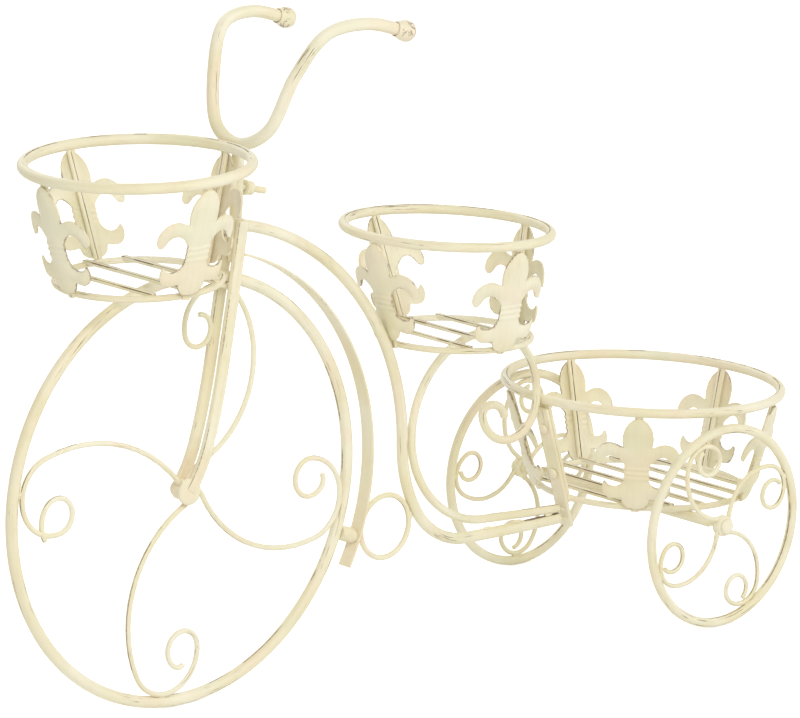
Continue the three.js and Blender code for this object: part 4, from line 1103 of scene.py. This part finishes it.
_, _, arch_crest = frame_paths()
arch_top = arch_crest + ARCH_TUBE * math.cos(math.pi / 7)  # the solid's flat on the arch
axle_top = REAR_Z + AXLE_RADIUS
seat(MIDDLE_BASKET, lambda x, tilt: arch_top + GAP)
seat(REAR_BASKET, lambda x, tilt: axle_top + GAP + BASE_WIRE - (x - REAR_AXLE_X) * math.sin(tilt))

front_wheel()
for side, sign in (("right", -1), ("left", 1)):
    fork_blade(side, sign)
    rear_wheel(side, sign, LEFT_WHEEL_TURN if side == "left" else 0.0)
rear_axle()
handlebar()
stem()
head_bolt()
mudguard()
scroll_loop()
frame_tubes()
for basket in BASKETS:
    basket_pieces(basket)
rear_strap()
PLATE.free()

# ---- floor, light and camera

def seen_directly(tree):
    """1 for the camera, and for what mirrors or lets through the background."""
    path = tree.nodes.new("ShaderNodeLightPath")
    return maths(tree, "MAXIMUM", path.outputs["Is Camera Ray"],
                 maths(tree, "MAXIMUM", path.outputs["Is Glossy Ray"], path.outputs["Is Transmission Ray"]))


def white_ground():
    """A white floor that takes the object's shadow."""
    bm = bmesh.new()
    bmesh.ops.create_grid(bm, x_segments=8, y_segments=8, size=30)
    mesh = bpy.data.meshes.new("floor")
    bm.to_mesh(mesh)
    bm.free()
    floor = bpy.data.objects.new("floor", mesh)
    bpy.context.scene.collection.objects.link(floor)
    material = bpy.data.materials.new("white_floor")
    material.use_nodes = True
    tree = material.node_tree
    shader = tree.nodes["Principled BSDF"]
    shader.inputs["Base Color"].default_value = (0.92, 0.92, 0.92, 1)
    shader.inputs["Roughness"].default_value = 0.9
    shader.inputs["Emission Color"].default_value = (1, 1, 1, 1)
    link(tree, product(tree, seen_directly(tree), 0.45), shader.inputs["Emission Strength"])
    mesh.materials.append(material)


def soft_lamp(name, at, aim, size, energy):
    lamp = bpy.data.lights.new(name, "AREA")
    lamp.shape = "SQUARE"
    lamp.size = size
    lamp.energy = energy
    holder = bpy.data.objects.new(name, lamp)
    holder.location = at
    holder.rotation_euler = (Vector(aim) - Vector(at)).to_track_quat("-Z", "Y").to_euler()
    bpy.context.scene.collection.objects.link(holder)


def light_and_camera():
    world = bpy.data.worlds.new("pale_studio")
    world.use_nodes = True
    tree = world.node_tree
    background = tree.nodes["Background"]
    background.inputs["Color"].default_value = (1, 1, 1, 1)
    strength = maths(tree, "ADD", product(tree, seen_directly(tree), 0.45), 0.55)
    link(tree, strength, background.inputs["Strength"])
    bpy.context.scene.world = world
    soft_lamp("key", (-1.6, -2.6, 2.6), (0, 0, 0.25), 1.6, 55)
    soft_lamp("fill", (2.6, -1.8, 1.8), (0, 0, 0.2), 2.2, 24)
    soft_lamp("back", (0.6, 2.8, 2.2), (0, 0, 0.3), 2.0, 26)

    # fitted to the ellipses of the photograph's wheels and baskets
    azimuth, elevation, roll = math.radians(-41.926), math.radians(13.979), math.radians(0.4676)
    right = Vector((math.cos(azimuth), math.sin(azimuth), 0))
    back = Vector((math.sin(azimuth) * math.cos(elevation), -math.cos(azimuth) * math.cos(elevation),
                   math.sin(elevation)))
    up = back.cross(right)
    rolled_right = right * math.cos(roll) + up * math.sin(roll)
    rolled_up = up * math.cos(roll) - right * math.sin(roll)
    camera = bpy.data.cameras.new("camera")
    camera.lens = 256.06
    camera.clip_end = 60
    holder = bpy.data.objects.new("camera", camera)
    turned_axes = Matrix((rolled_right, rolled_up, back)).transposed().to_4x4()
    place = Vector((AXLE_X - 2801.48, -3377.16, 1379.24)) * MM
    holder.matrix_world = Matrix.Translation(place) @ turned_axes
    bpy.context.scene.collection.objects.link(holder)
    bpy.context.scene.camera = holder
    bpy.context.scene.view_settings.view_transform = "Standard"


white_ground()
light_and_camera()
